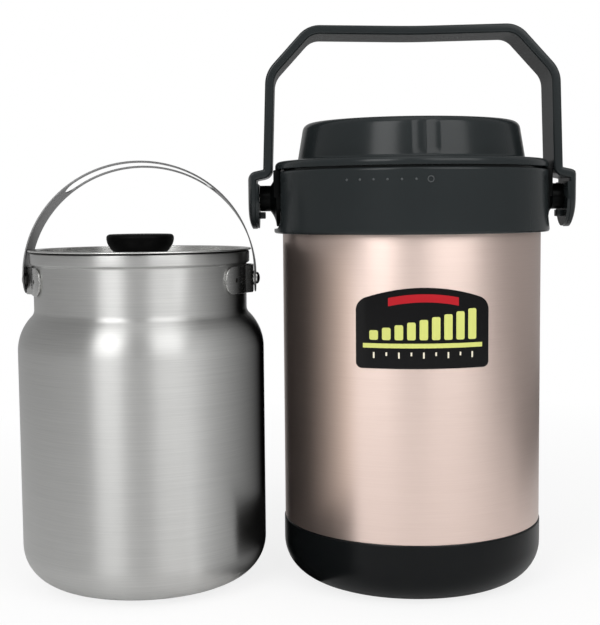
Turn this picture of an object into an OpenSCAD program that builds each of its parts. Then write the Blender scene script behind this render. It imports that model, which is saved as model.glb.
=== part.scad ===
// Thermal cooker: a vacuum-walled outer vessel with a twist-lock lid and a carry handle,
// and the steel cooking pot that goes into it, standing beside it.
// The origin is the middle of the cooker's foot, +Z up, the front towards -Y.

/* [Vacuum vessel] */
// Outside diameter of the steel body
body_d = 160; // [150:1:176]
// Wall of the outer shell
shell_wall = 0.6; // [0.5:0.1:0.9]
// Vacuum gap between the shell and the liner
vacuum_gap = 2.4; // [2.2:0.1:4]
// Wall of the inner liner
liner_wall = 0.5; // [0.4:0.1:0.8]
// Inside corner radius at the liner's floor
liner_corner = 22; // [16:1:24]
// Vacuum gap under the liner's floor
floor_gap = 7; // [6:0.5:10]
// Radius of the sealed evacuation hole in the bottom
seal_hole_r = 1.5; // [1:0.1:2.5]

/* [Base cup] */
// Height of the black base cup
base_h = 37; // [32:1:46]
// How far the base cup stands proud of the body
base_proud = 0.5; // [0.2:0.1:1]
// Radius of the base cup's bottom corner
base_corner = 23; // [18:1:26]
// Wall of the base cup
base_wall = 2.35; // [2:0.05:3]

/* [Collar] */
// Height of the collar's lower edge above the floor
collar_z = 215.4; // [212:0.2:240]
// Height of the collar
collar_h = 37.8; // [36:0.2:44]
// How far the collar's lower edge stands proud of the body
collar_proud = 5.3; // [5:0.1:7]
// How much slimmer the collar is at its top edge
collar_draft = 0.7; // [0:0.1:1]
// Depth of the flat on each side, from the collar's lower edge radius
flat_depth = 4.5; // [3.5:0.1:4.8]
// Half width of the flat's recess
flat_half_w = 29; // [26:0.5:32]
// Number of raised dots along the turning path
dot_count = 6; // [3:1:8]
// Angle between one dot and the next
dot_step = 5.45; // [4:0.05:6]
// Diameter of a raised dot
dot_d = 1.7; // [1:0.1:2.4]
// Outside diameter of the raised ring at the open place
ring_d = 3.9; // [3:0.1:6]
// Angle that the ring and the lid's index flutes stand to the right of the front
front_turn = 2.4; // [0:0.2:10]

/* [Cooker lid] */
// Dark gap between the collar and the lid
lid_gap = 1.2; // [0.6:0.1:2]
// How much smaller the lid's flange is than the collar's top
lid_setback = 0.2; // [0:0.1:1]
// Thickness of the lid's flange
flange_h = 4.9; // [4.4:0.1:7]
// Radius of the dome where it meets the flange
dome_r = 70.4; // [64:0.2:74]
// Height of the dome above the flange
dome_h = 23.3; // [18:0.1:30]
// How far the dome's side leans in over its height
dome_lean = 4; // [1:0.1:8]
// Wall of the lid cover
cover_wall = 2.2; // [1.8:0.1:3]
// Depth of the lid's plug below its flange
plug_depth = 22; // [20.5:0.1:24]
// Width of one index flute on the dome's front
flute_w = 8.2; // [6:0.1:10]
// Depth of an index flute
flute_depth = 0.6; // [0.3:0.1:1]
// Angle that one bayonet lug covers
lug_angle = 16; // [10:1:20]
// Angle that the lid turns from open to locked
lid_turn = 33; // [24:1:40]

/* [Carry handle] */
// Height of the handle's pivot above the collar's lower edge
pivot_rise = 21.6; // [20.5:0.1:22.5]
// Width of the handle strap
strap_w = 35.4; // [30:0.2:36]
// Thickness of the handle strap
strap_t = 5.4; // [5:0.1:7]
// Gap between the collar and the inside of the arms
arm_gap = 0.8; // [0.8:0.1:3]
// How far the ears step out from the arms
ear_step = 9.6; // [9:0.1:12]
// Height of the grip's top above the pivot
grip_rise = 104; // [98:0.5:125]
// Half length of the grip, up to its bends
grip_half = 62.5; // [55:0.5:66]
// How far the grip dips in its middle
grip_dip = 1.2; // [0:0.1:4]
// Height of the handle's slanted corner
slant_h = 26.5; // [24:0.5:36]
// How far each arm leans in between its ear and its slanted corner
arm_lean = 2; // [0:0.1:2.2]
// How far the outside of each ear is rounded back at its edge
ear_round = 2.6; // [1:0.1:4]
// How far below the pivot each ear's round end is centred
ear_drop = 1.2; // [0:0.1:2]
// Thickness of the pad inside each ear
ear_pad = 1.4; // [1:0.1:2]
// Radius of the steel pivot pins
pin_r = 3; // [2:0.1:4]
// Radius of the stub that carries each ear
stub_r = 8; // [6:0.1:9]

/* [Cooking pot] */
// Clear width between the pot and the liner
pot_clearance = 0.7; // [0.5:0.1:2]
// Clear width between the pot's bail and the cooker's handle ear
ear_clearance = 1.6; // [1:0.1:40]
// How far the pot stands in front of the cooker's middle
pot_forward = 8; // [0:0.5:30]
// Wall of the pot
pot_wall = 0.8; // [0.6:0.1:1.2]
// Radius of the pot's neck
neck_r = 65.4; // [62:0.2:66.5]
// Height of the pot's rim
pot_h = 205; // [190:0.2:208]
// Height of the rolled rim band
band_h = 7.8; // [5:0.2:8.4]
// How far the rim band stands out from the neck
band_step = 2; // [1:0.1:2.4]
// Depth below the rim at which the shoulder begins
shoulder_drop = 60; // [56:0.2:75]
// Radius of the rounded shoulder
shoulder_r = 30; // [24:1:34]
// Radius of the pot's bottom corner
pot_corner = 24; // [22.5:0.5:30]
// Radius of the bonded base disc
heat_disc_r = 46; // [38:1:50]
// Thickness of the bonded base disc
heat_disc_t = 1.5; // [1:0.1:2]

/* [Pot bail] */
// Width of the steel strip
bail_w = 21; // [18:0.5:22]
// Thickness of the steel strip
bail_t = 0.8; // [0.7:0.1:1.5]
// Depth of the bail's pivot below the pot's rim
bail_drop = 17; // [16:0.2:18]
// Straight part of the bail above its pivot
bail_leg = 3.2; // [2.8:0.1:4.4]
// How far the bail leans back as it stands
bail_lean = 8; // [0:1:30]
// Angle that the crown slot covers
slot_angle = 84; // [50:1:100]
// Width of the crown slot
slot_w = 14.4; // [8:0.2:15]
// Angle that each bracket covers on the neck
bracket_angle = 68; // [60:1:74]
// Height of each bracket
bracket_h = 17; // [14:0.2:18]
// Radius of the rivet's shank
rivet_r = 2.2; // [1.8:0.1:2.6]

/* [Pot lid] */
// How far the lid's edge overhangs the rim band
pot_lid_over = 1.1; // [0.6:0.1:1.6]
// Depth of the dished lid below its edge
dish_depth = 8; // [6:0.2:10]
// Radius of the knob at its widest
knob_r = 20.8; // [16:0.2:24]
// Height of the knob's top above the lid's edge
knob_rise = 9; // [8:0.2:12]
// Radius of the knob's screw
knob_screw_r = 2.5; // [2:0.1:3]

/* [Label] */
// Width of the label along the body's curve
label_w = 79; // [60:1:90]
// Height of the label
label_h = 46; // [36:1:50]
// How far the label's top edge rises towards its middle
label_arch = 7.6; // [4:0.2:10]
// Height of the label's middle above the floor
label_z = 162.5; // [140:0.5:170]
// Thickness of the label
label_t = 0.3; // [0.2:0.05:0.5]

/* [Hidden] */
$fn = 96;

// Clearances
glue_gap = 0.05;
seat_gap = 0.15;
slip_gap = 0.3;
turn_gap = 0.4;
pin_gap = 0.05;
press_gap = 0.02;
cut_over = 1;

// Vacuum vessel, from the body's diameter inwards
body_r = body_d/2;
liner_out_r = body_r - shell_wall - vacuum_gap;
liner_r = liner_out_r - liner_wall;
neck_step = 1.8;
shell_neck_r = body_r - neck_step;
shell_foot_r = body_r + base_proud - base_wall - seat_gap;
foot_flat_r = body_r + base_proud - base_corner;
vessel_corner = shell_foot_r - foot_flat_r;
vessel_z = base_corner - vessel_corner;
seam_rise = 5;
shell_seam_z = base_corner + seam_rise;
liner_floor_z = vessel_z + shell_wall + floor_gap + liner_wall;
dimple_r = 8;
dimple_h = 2;
dimple_slope = 1.5;

// Collar and vessel mouth
collar_top_z = collar_z + collar_h;
collar_r = body_r + collar_proud;
collar_top_r = collar_r - collar_draft;
collar_round = 1.2;
collar_lap = 2;
flat_x = collar_r - flat_depth;
flat_rise = 3.1;
flat_z = collar_z + flat_rise;
flat_corner = 14;
mouth_ring_t = 2.9;
mouth_depth = 18;
mouth_ring_z = collar_top_z - mouth_depth;
mouth_seal_t = 0.8;
lip_z = mouth_ring_z - mouth_ring_t - mouth_seal_t;
chamber_wall = 1.4;
chamber_r = flat_x - chamber_wall;
lug_r = chamber_r - turn_gap;
ledge_w = 1.4;
ledge_r = lug_r - ledge_w;
skirt_play = 0.7;
skirt_r = ledge_r - skirt_play;
gasket_r = ledge_r - turn_gap;
ledge_drop = 5.2;
ledge_h = 3.8;
ledge_top_z = collar_top_z - ledge_drop;
ledge_z = ledge_top_z - ledge_h;
lug_h = 3.5;
lug_z = ledge_z - turn_gap - lug_h;
lug_count = 3;
lug_play = 5;
mark_drop = 6.9;
mark_z = collar_top_z - mark_drop;

// Cooker lid
lid_z = collar_top_z + lid_gap;
flange_r = collar_top_r - lid_setback;
flange_round = 3;
flange_top_z = lid_z + flange_h;
lip_h = 4;
dome_fillet = 2.5;
dome_corner = 5;
dome_top_r = dome_r - dome_lean;
dome_top_z = flange_top_z + dome_h;
dome_crown = 0.8;
crown_flat_r = 20;
plug_z = lid_z - plug_depth;
plug_floor_t = 2.3;
gasket_h = 2.8;
gasket_inset = 2.7;
gasket_in_r = liner_r - gasket_inset;
plug_play = 0.6;
groove_lip_r = liner_r - plug_play;
groove_play = 0.1;
groove_r = gasket_in_r - groove_play;
liner_skirt_t = 2;
groove_wall_r = groove_r - liner_skirt_t;
groove_top_z = mouth_ring_z + gasket_h + 2*groove_play;
skirt_in_r = skirt_r - liner_skirt_t;
skirt_lap = 2.3;
skirt_top_z = lid_z + skirt_lap;
foam_gap = 0.2;

// Carry handle
pivot_z = collar_z + pivot_rise;
arm_x = collar_r + arm_gap;
ear_x = arm_x + ear_step;
ear_r = strap_w/2;
ear_z = pivot_z - ear_drop;
pin_cover = 2;
pin_end_x = ear_x + strap_t - pin_cover;
jog_rise = 13.2;
jog_h = 2;
jog_low = pivot_z + jog_rise;
jog_high = jog_low + jog_h;
jog_bend = 3.3;
arm_bend = 16;
grip_bend = 14;
dip_bend = 600;
hub_r = 17.4;
hub_rim_t = 3;
hub_flare = 3.6;
hub_rim_x = flat_x + hub_rim_t;

// Cooking pot
pot_r = liner_r - pot_clearance;
band_r = neck_r + band_step;
band_z = pot_h - band_h;
neck_fillet = 6;
pot_floor_z = heat_disc_t;
pot_flat_r = pot_r - pot_corner;
shoulder_z = pot_h - shoulder_drop;
shoulder_dx = neck_r + neck_fillet - pot_r + shoulder_r;
shoulder_angle = acos(shoulder_dx/(shoulder_r + neck_fillet));
neck_z = shoulder_z + (shoulder_r + neck_fillet)*sin(shoulder_angle);

// Pot lid
pot_lid_r = band_r + pot_lid_over;
pan_t = 0.8;
edge_t = 1;
edge_lift = 0.7;
edge_top_z = pot_h + edge_lift + edge_t;
rest_w = 1;
pan_play = 1.2;
pan_wall_r = neck_r - pot_wall - pan_play;
pan_round = 3;
pan_z = edge_top_z - dish_depth;
knob_top_z = edge_top_z + knob_rise;
knob_round = 2.2;
bowl_angle = 60;
washer_out_r = 7;
knob_washer_t = 1;

// Pot bail and its brackets
bail_z = pot_h - bail_drop;
bracket_t = 1.2;
bail_play = 1.3;
bridge_x = pot_lid_r + bail_play;
bridge_half = 7;
bridge_foot = 12;
washer_t = 0.6;
washer_r = 4.5;
eye_gap = 0.1;
eye_x = bridge_x + washer_t + 2*eye_gap;
rivet_head_r = 3.75;
rivet_head_h = 2.4;
bail_in_r = eye_x;
bail_out_r = bail_in_r + bail_t;
arch_share = 0.965;
arch_in_h = bail_in_r*arch_share;
arch_out_h = arch_in_h + bail_t;
eye_rise = 2;

// The pot's place to the left of the cooker, with its bail clear of the handle's ear and its side of the body
body_clearance = 3;
ear_foot_z = ear_z - ear_r;
bail_rise = (ear_foot_z - bail_z)/cos(bail_lean) - bail_leg;
bail_reach = bail_out_r*sqrt(1 - pow(min(max(bail_rise/arch_out_h, 0), 1), 2));
beside_ear = ear_x + strap_t + ear_clearance + bail_reach;
beside_body = body_r + base_proud + body_clearance + pot_r;
pot_x = -max(beside_ear, beside_body);

// Points along an arc about c, from angle a0 to a1
function arc(c, r, a0, a1, n = 8) =
    [for (i = [0:n]) let (a = a0 + (a1 - a0)*i/n) [c[0] + r*cos(a), c[1] + r*sin(a)]];

// An outline turned round Z
module turned(points) rotate_extrude() polygon(points);

// Turned about an axis along +X at height z
module about_x(z) translate([0, 0, z]) rotate([0, 90, 0]) children();

// A copy of the piece on the left, mirrored from the right
module on_left() mirror([1, 0, 0]) children();

// Everything that belongs to the pot stands on the pot's own axis
module at_pot() translate([pot_x, -pot_forward, 0]) children();

// Outer steel shell: stepped in under the base cup and under the collar
module outer_shell() color([0.78, 0.68, 0.62]) turned([
    [shell_foot_r, shell_seam_z],
    [shell_foot_r, base_h + slip_gap],
    [body_r, base_h + slip_gap],
    [body_r, collar_z + collar_lap],
    [shell_neck_r, collar_z + collar_lap],
    [shell_neck_r, lip_z],
    [liner_out_r, lip_z],
    [liner_out_r, lip_z - shell_wall],
    [shell_neck_r - shell_wall, lip_z - shell_wall],
    [shell_neck_r - shell_wall, collar_z + collar_lap - shell_wall],
    [body_r - shell_wall, collar_z + collar_lap - shell_wall],
    [body_r - shell_wall, base_h + slip_gap + shell_wall],
    [shell_foot_r - shell_wall, base_h + slip_gap + shell_wall],
    [shell_foot_r - shell_wall, shell_seam_z]
]);

// Inner steel liner: the cup that the pot stands in
module inner_liner() color("lightgray") {
    corner = [liner_r - liner_corner, liner_floor_z + liner_corner];
    turned(concat(
        [[0, liner_floor_z - liner_wall]],
        arc(corner, liner_corner + liner_wall, -90, 0, 12),
        [[liner_out_r, lip_z], [liner_r, lip_z]],
        arc(corner, liner_corner, 0, -90, 12),
        [[0, liner_floor_z]]
    ));
}

// Pressed bottom of the vacuum vessel with a raised middle for the evacuation hole
module vessel_bottom() color("silver") {
    corner = [foot_flat_r, base_corner];
    top = vessel_z + shell_wall;
    turned(concat(
        [[seal_hole_r, vessel_z + dimple_h], [dimple_r, vessel_z + dimple_h]],
        [[dimple_r + dimple_slope, vessel_z]],
        arc(corner, vessel_corner, -90, 0, 10),
        [[shell_foot_r, shell_seam_z], [shell_foot_r - shell_wall, shell_seam_z]],
        arc(corner, vessel_corner - shell_wall, 0, -90, 10),
        [[dimple_r + dimple_slope, top], [dimple_r, top + dimple_h], [seal_hole_r, top + dimple_h]]
    ));
}

// Getter cup that keeps the vacuum, welded to the inside of the bottom
module vacuum_getter() color("dimgray") {
    cup_r = 7;
    cup_h = 3;
    dish_r = 5.5;
    translate([3*cup_r, 0, vessel_z + shell_wall]) difference() {
        cylinder(r = cup_r, h = cup_h);
        translate([0, 0, cup_h/2]) cylinder(r = dish_r, h = cup_h);
    }
}

// Bead of solder that closes the evacuation hole from below
module vacuum_seal() color("darkgray") {
    bead_r = 5;
    bead_h = 1.2;
    translate([0, 0, vessel_z + dimple_h - bead_h]) cylinder(r = bead_r, h = bead_h);
    translate([0, 0, vessel_z + dimple_h - glue_gap]) cylinder(r = seal_hole_r - glue_gap, h = shell_wall);
}

// Black base cup with a large rounded bottom corner
module base_cup() color([0.12, 0.13, 0.13]) {
    corner = [foot_flat_r, base_corner];
    rim_chamfer = 0.6;
    base_r = body_r + base_proud;
    turned(concat(
        [[0, 0]],
        arc(corner, base_corner, -90, 0, 12),
        [[base_r, base_h - rim_chamfer], [base_r - rim_chamfer, base_h], [base_r - base_wall, base_h]],
        arc(corner, base_corner - base_wall, 0, -90, 12),
        [[0, base_wall]]
    ));
}

// Outline of the collar's section, with the ring that covers the vessel's mouth
module collar_section() polygon(concat(
    [[body_r + seat_gap, collar_z]],
    arc([collar_r - collar_round, collar_z + collar_round], collar_round, -90, 0, 4),
    arc([collar_top_r - collar_round, collar_top_z - collar_round], collar_round, 0, 90, 4),
    [
        [chamber_r, collar_top_z],
        [chamber_r, mouth_ring_z],
        [liner_r, mouth_ring_z],
        [liner_r, mouth_ring_z - mouth_ring_t],
        [shell_neck_r + seat_gap, mouth_ring_z - mouth_ring_t],
        [shell_neck_r + seat_gap, collar_z + collar_lap + slip_gap],
        [body_r + seat_gap, collar_z + collar_lap + slip_gap]
    ]
));

// Side recess of the collar, as a tool that leaves a flat for the pivot hub
module side_recess() {
    depth = collar_r;
    translate([flat_x, 0, 0]) rotate([90, 0, 90]) linear_extrude(depth) polygon(concat(
        [[flat_half_w, collar_top_z + cut_over]],
        [[-flat_half_w, collar_top_z + cut_over]],
        arc([flat_corner - flat_half_w, flat_z + flat_corner], flat_corner, 180, 270, 6),
        arc([flat_half_w - flat_corner, flat_z + flat_corner], flat_corner, 270, 360, 6)
    ));
}

// A block that follows the collar's curve, starting at an angle
module curved_block(r0, r1, z0, h, start, sweep)
    rotate([0, 0, start]) rotate_extrude(angle = sweep) translate([r0, z0]) square([r1 - r0, h]);

// Charcoal collar: covers the mouth, holds the lid's lugs and carries the pivot hubs
module collar() color([0.18, 0.19, 0.2]) {
    pitch = 360/lug_count;
    slot = lug_angle + 2*lug_play;
    wall_bite = 0.5;
    mark_r = collar_r - collar_draft*(mark_z - collar_z)/collar_h;
    ring_w = 0.6;
    mark_proud = 0.4;
    front = front_turn - 90;
    difference() {
        rotate_extrude() collar_section();
        side_recess();
        on_left() side_recess();
    }
    // Ledges that the lid's lugs turn under, with a stop at the locked end of each
    for (i = [0:lug_count - 1]) {
        lug_at = front + i*pitch;
        curved_block(ledge_r, chamber_r + wall_bite, ledge_z, ledge_top_z - ledge_z,
            lug_at + slot/2, pitch - slot);
        curved_block(ledge_r + slip_gap, chamber_r + 2*wall_bite, lug_z, ledge_z - lug_z + wall_bite,
            lug_at - lug_turn_stop(), lug_play/2);
    }
    // Raised dots along the turning path, and the ring at the open place
    for (i = [1:dot_count])
        rotate([0, 0, front - i*dot_step]) translate([mark_r - dot_d/2 + mark_proud, 0, mark_z])
            sphere(d = dot_d);
    rotate([0, 0, front]) translate([mark_r, 0, mark_z]) rotate([0, 90, 0]) translate([0, 0, -ring_w])
        difference() {
            cylinder(d = ring_d, h = ring_w + mark_proud);
            translate([0, 0, ring_w/2]) cylinder(d = ring_d - 2*ring_w, h = 2*ring_w);
        }
}

// Angle from a lug's open place to the far side of its stop
function lug_turn_stop() = lid_turn + lug_angle/2 + lug_play;

// Flat seal between the vessel's lip and the collar
module mouth_seal() color("black") turned([
    [liner_r + slip_gap, lip_z],
    [shell_neck_r, lip_z],
    [shell_neck_r, lip_z + mouth_seal_t],
    [liner_r + slip_gap, lip_z + mouth_seal_t]
]);

// Pivot hub: a trumpet-shaped boss on the collar's flat, with a stub for the ear
module hub() color([0.07, 0.07, 0.08]) {
    flare_steps = 6;
    spread = hub_r - stub_r;
    stub_end = ear_x - ear_pad - slip_gap;
    block_top_z = lid_z - slip_gap;
    difference() {
        union() {
            about_x(pivot_z) turned(concat(
                [[0, flat_x], [hub_r, flat_x], [hub_r, hub_rim_x]],
                [for (i = [1:flare_steps]) let (t = i/flare_steps)
                    [hub_r - spread*t, hub_rim_x + hub_flare*t*t]],
                [[stub_r, stub_end], [0, stub_end]]
            ));
            translate([flat_x, -hub_r, pivot_z]) cube([collar_r - flat_x, 2*hub_r, block_top_z - pivot_z]);
        }
        about_x(pivot_z) translate([0, 0, flat_x + slip_gap])
            cylinder(r = pin_r + press_gap, h = ear_step + strap_t);
    }
}
module left_hub() on_left() hub();
module right_hub() hub();

// Steel pin that each ear turns on
module pivot_pin() color("silver") {
    start = flat_x + 2*slip_gap;
    about_x(pivot_z) translate([0, 0, start]) cylinder(r = pin_r, h = pin_end_x - start);
}
module left_pivot_pin() on_left() pivot_pin();
module right_pivot_pin() pivot_pin();

// Plain label on the front of the body, with an arched top edge
module label_plate() color("black") {
    foot_corner = 3.2;
    top_corner = 8;
    arch_steps = 24;
    label_r = body_r + glue_gap;
    half = body_r*sin(label_w/body_r*90/PI);
    low = label_z - label_h/2;
    arch_r = (pow(half, 2) + pow(label_arch, 2))/(2*label_arch);
    arch_z = low + label_h - arch_r;
    turn_x = half - top_corner;
    turn_z = arch_z + sqrt(pow(arch_r - top_corner, 2) - pow(turn_x, 2));
    turn_angle = atan2(turn_z - arch_z, turn_x);
    arch_step = (180 - 2*turn_angle)/arch_steps;
    intersection() {
        translate([0, 0, low]) difference() {
            cylinder(r = label_r + label_t, h = label_h);
            translate([0, 0, -cut_over]) cylinder(r = label_r, h = label_h + 2*cut_over);
        }
        rotate([90, 0, 0]) linear_extrude(body_d) polygon(concat(
            arc([half - foot_corner, low + foot_corner], foot_corner, -90, 0, 6),
            arc([turn_x, turn_z], top_corner, 0, turn_angle, 6),
            arc([0, arch_z], arch_r, turn_angle + arch_step, 180 - turn_angle - arch_step, arch_steps - 2),
            arc([-turn_x, turn_z], top_corner, 180 - turn_angle, 180, 6),
            arc([foot_corner - half, low + foot_corner], foot_corner, 180, 270, 6)
        ));
    }
}

// Silicone ring that seals the plug on the mouth ring
module lid_gasket() color("lightgray") turned([
    [gasket_in_r, mouth_ring_z],
    [gasket_r, mouth_ring_z],
    [gasket_r, mouth_ring_z + gasket_h],
    [gasket_in_r, mouth_ring_z + gasket_h]
]);

// Outline of the dome's outside, from the flange's rim to the middle of the top
function dome_outline() = concat(
    arc([flange_r - flange_round, flange_top_z - flange_round], flange_round, 0, 90, 6),
    arc([dome_r + dome_fillet, flange_top_z + dome_fillet], dome_fillet, 270, 180, 5),
    arc([dome_top_r - dome_corner, dome_top_z - dome_corner], dome_corner, 0, 90, 7),
    [[crown_flat_r, dome_top_z + dome_crown], [0, dome_top_z + dome_crown]]
);

// Charcoal lid cover: a wide flange with a lip inside the collar, and a raised dome with two index flutes
module lid_cover() color([0.18, 0.19, 0.2]) {
    flute_r = (pow(flute_w/2, 2) + pow(flute_depth, 2))/(2*flute_depth);
    lean = atan(dome_lean/dome_h);
    inside_r = dome_r - cover_wall;
    difference() {
        turned(concat(
            [[skirt_r + foam_gap, lid_z - lip_h], [lug_r, lid_z - lip_h], [lug_r, lid_z], [flange_r, lid_z]],
            dome_outline(),
            [
                [0, dome_top_z - cover_wall],
                [dome_top_r - cover_wall, dome_top_z - cover_wall],
                [inside_r, skirt_top_z + foam_gap],
                [skirt_r + foam_gap, skirt_top_z + foam_gap]
            ]
        ));
        rotate([0, 0, front_turn]) for (side = [-1, 1])
            translate([side*flute_w/2, -dome_r, flange_top_z]) rotate([-lean, 0, 0])
                translate([0, flute_depth - flute_r, dome_fillet])
                    cylinder(r = flute_r, h = dome_h - dome_corner);
    }
}

// Foam that fills the lid
module lid_insulation() color("ivory") turned([
    [0, plug_z + plug_floor_t + foam_gap],
    [groove_wall_r - foam_gap, plug_z + plug_floor_t + foam_gap],
    [groove_wall_r - foam_gap, groove_top_z + liner_skirt_t + foam_gap],
    [skirt_in_r - foam_gap, groove_top_z + liner_skirt_t + foam_gap],
    [skirt_in_r - foam_gap, skirt_top_z - foam_gap],
    [dome_r - cover_wall - 2*foam_gap, skirt_top_z + foam_gap],
    [dome_top_r - cover_wall - 2*foam_gap, dome_top_z - cover_wall - foam_gap],
    [0, dome_top_z - cover_wall - foam_gap]
]);

// Inner lid: the plug with its seal groove and bayonet lugs
module lid_liner() color([0.25, 0.26, 0.27]) {
    lug_bite = 1;
    turned([
        [0, plug_z],
        [groove_lip_r, plug_z],
        [groove_lip_r, mouth_ring_z - foam_gap],
        [groove_r, mouth_ring_z - foam_gap],
        [groove_r, groove_top_z],
        [skirt_r, groove_top_z],
        [skirt_r, skirt_top_z],
        [skirt_in_r, skirt_top_z],
        [skirt_in_r, groove_top_z + liner_skirt_t],
        [groove_wall_r, groove_top_z + liner_skirt_t],
        [groove_wall_r, plug_z + plug_floor_t],
        [0, plug_z + plug_floor_t]
    ]);
    for (i = [0:lug_count - 1])
        curved_block(skirt_r - lug_bite, lug_r, lug_z, lug_h,
            i*360/lug_count + front_turn - 90 - lug_angle/2, lug_angle);
}

// Direction helpers for the strap's path
function unit(v) = v/norm(v);
function left_of(v) = [-v[1], v[0]];
function turned_by(v, a) = [v[0]*cos(a) - v[1]*sin(a), v[0]*sin(a) + v[1]*cos(a)];

// Points round the bend at b of a path from a to c, moved to the left of the path by d
function bend(a, b, c, r, d, n = 6) =
    let (
        u = unit(b - a),
        w = unit(c - b),
        side = sign(u[0]*w[1] - u[1]*w[0]),
        angle = acos(u*w),
        start = b - u*r*tan(angle/2),
        centre = start + left_of(u)*side*r
    )
    [for (i = [0:n]) centre + turned_by(start - centre, side*angle*i/n)*(r - side*d)/r];

// One side of a band that follows a path with a bend radius at each inner point
function band_side(path, radii, d) =
    let (last = len(path) - 1)
    concat(
        [path[0] + left_of(unit(path[1] - path[0]))*d],
        [for (i = [1:last - 1]) each bend(path[i - 1], path[i], path[i + 1], radii[i], d)],
        [path[last] + left_of(unit(path[last] - path[last - 1]))*d]
    );

// A list from its end to its start
function backwards(list) = [for (i = [len(list) - 1:-1:0]) list[i]];

// Outline of a band of thickness t along a path
function band_outline(path, radii, t) =
    concat(band_side(path, radii, t/2), backwards(band_side(path, radii, -t/2)));

// Middle line of the handle strap, from the right ear over the grip to the left ear
function strap_path() =
    let (
        ear_mid = ear_x + strap_t/2,
        arm_mid = arm_x + strap_t/2,
        grip_mid = pivot_z + grip_rise - strap_t/2,
        half = [
            [ear_mid, ear_z - ear_r],
            [ear_mid, jog_low],
            [arm_mid, jog_high],
            [arm_mid - arm_lean, grip_mid - slant_h],
            [grip_half, grip_mid]
        ]
    )
    concat(half, [[0, grip_mid - grip_dip]], [for (p = backwards(half)) [-p[0], p[1]]]);
half_radii = [0, jog_bend, jog_bend, arm_bend, grip_bend];
strap_radii = concat(half_radii, [dip_bend], backwards(half_radii));

// Outside of the right half of the handle: a round ear, rounded back at its edge, and the strap above it
module ear_tool() {
    steps = 8;
    round_power = 4;
    face_x = ear_x + strap_t;
    half = [for (i = [0:steps]) let (t = i/steps) [ear_r*t, face_x - ear_round*pow(t, round_power)]];
    about_x(ear_z) turned(concat(half, [[ear_r, -ear_r], [0, -ear_r]]));
    translate([0, 0, ear_z]) linear_extrude(2*grip_rise) polygon(concat(
        [for (p = backwards(half)) [p[1], -p[0]]],
        [for (i = [1:steps]) [half[i][1], half[i][0]]],
        [[-ear_r, ear_r], [-ear_r, -ear_r]]
    ));
}

// Pad on the inside of the right ear, set in from the ear's edge
module pad_tool() {
    pad_inset = 0.4;
    pad_rise = 10;
    pad_r = ear_r - pad_inset;
    translate([ear_x - ear_pad, 0, ear_z]) rotate([90, 0, 90]) linear_extrude(ear_pad + strap_t/4)
        polygon(concat(arc([0, 0], pad_r, 180, 360, 24), [[pad_r, pad_rise], [-pad_r, pad_rise]]));
}

// Charcoal carry handle: one bent strap with a round, padded ear and a small snap tab at each end
module carry_handle() color([0.18, 0.19, 0.2]) {
    bore_end = pin_end_x + slip_gap;
    tab_l = 3.8;
    tab_w = 8;
    tab_h = 4.2;
    difference() {
        union() {
            intersection() {
                rotate([90, 0, 0]) translate([0, 0, -strap_w/2]) linear_extrude(strap_w)
                    polygon(band_outline(strap_path(), strap_radii, strap_t));
                for (side = [0, 1]) mirror([side, 0, 0]) ear_tool();
            }
            for (side = [0, 1]) mirror([side, 0, 0]) pad_tool();
        }
        translate([-bore_end, 0, 0]) about_x(pivot_z) cylinder(r = pin_r + pin_gap, h = 2*bore_end);
    }
    for (side = [-1, 1])
        translate([side*(ear_x - ear_pad - tab_l/2), 0, pivot_z - stub_r - turn_gap - tab_h/2])
            cube([tab_l, tab_w, tab_h], center = true);
}

// Spun steel pot with a rounded shoulder, a neck and a rolled rim band
module pot_shell() color("silver") {
    foot = [pot_flat_r, pot_floor_z + pot_corner];
    shoulder = [pot_r - shoulder_r, shoulder_z];
    throat = [neck_r + neck_fillet, neck_z];
    band_slope = 1.2;
    at_pot() turned(concat(
        [[0, pot_floor_z]],
        arc(foot, pot_corner, -90, 0, 12),
        arc(shoulder, shoulder_r, 0, shoulder_angle, 8),
        arc(throat, neck_fillet, 180 + shoulder_angle, 180, 5),
        [[neck_r, band_z], [band_r, band_z + band_slope], [band_r, pot_h], [neck_r - pot_wall, pot_h]],
        arc(throat, neck_fillet + pot_wall, 180, 180 + shoulder_angle, 5),
        arc(shoulder, shoulder_r - pot_wall, shoulder_angle, 0, 8),
        arc(foot, pot_corner - pot_wall, 0, -90, 12),
        [[0, pot_floor_z + pot_wall]]
    ));
}

// Heat-spreading disc bonded under the pot
module pot_heat_disc() color("gainsboro") at_pot() cylinder(r = heat_disc_r, h = heat_disc_t);

// Strap bracket on the pot's neck: welded wings and a raised bridge for the rivet
module bracket() color("lightgray") {
    in_r = neck_r + glue_gap;
    out_r = in_r + bracket_t;
    wing = bracket_angle/2;
    foot_in = asin(bridge_foot/in_r);
    foot_out = asin(bridge_foot/out_r);
    half = out_r*sin(wing);
    end_r = bracket_h/2;
    difference() {
        intersection() {
            translate([0, 0, bail_z - end_r]) linear_extrude(bracket_h) polygon(concat(
                arc([0, 0], out_r, -wing, -foot_out, 6),
                [[bridge_x, -bridge_half], [bridge_x, bridge_half]],
                arc([0, 0], out_r, foot_out, wing, 6),
                arc([0, 0], in_r, wing, foot_in, 6),
                [[bridge_x - bracket_t, bridge_half], [bridge_x - bracket_t, -bridge_half]],
                arc([0, 0], in_r, -foot_in, -wing, 6)
            ));
            translate([0, 0, bail_z]) rotate([90, 0, 90]) linear_extrude(2*neck_r) polygon(concat(
                arc([half - end_r, 0], end_r, -90, 90, 10),
                arc([end_r - half, 0], end_r, 90, 270, 10)
            ));
        }
        about_x(bail_z) cylinder(r = rivet_r + press_gap, h = 2*bridge_x);
    }
}
module left_bracket() at_pot() on_left() bracket();
module right_bracket() at_pot() bracket();

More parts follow.
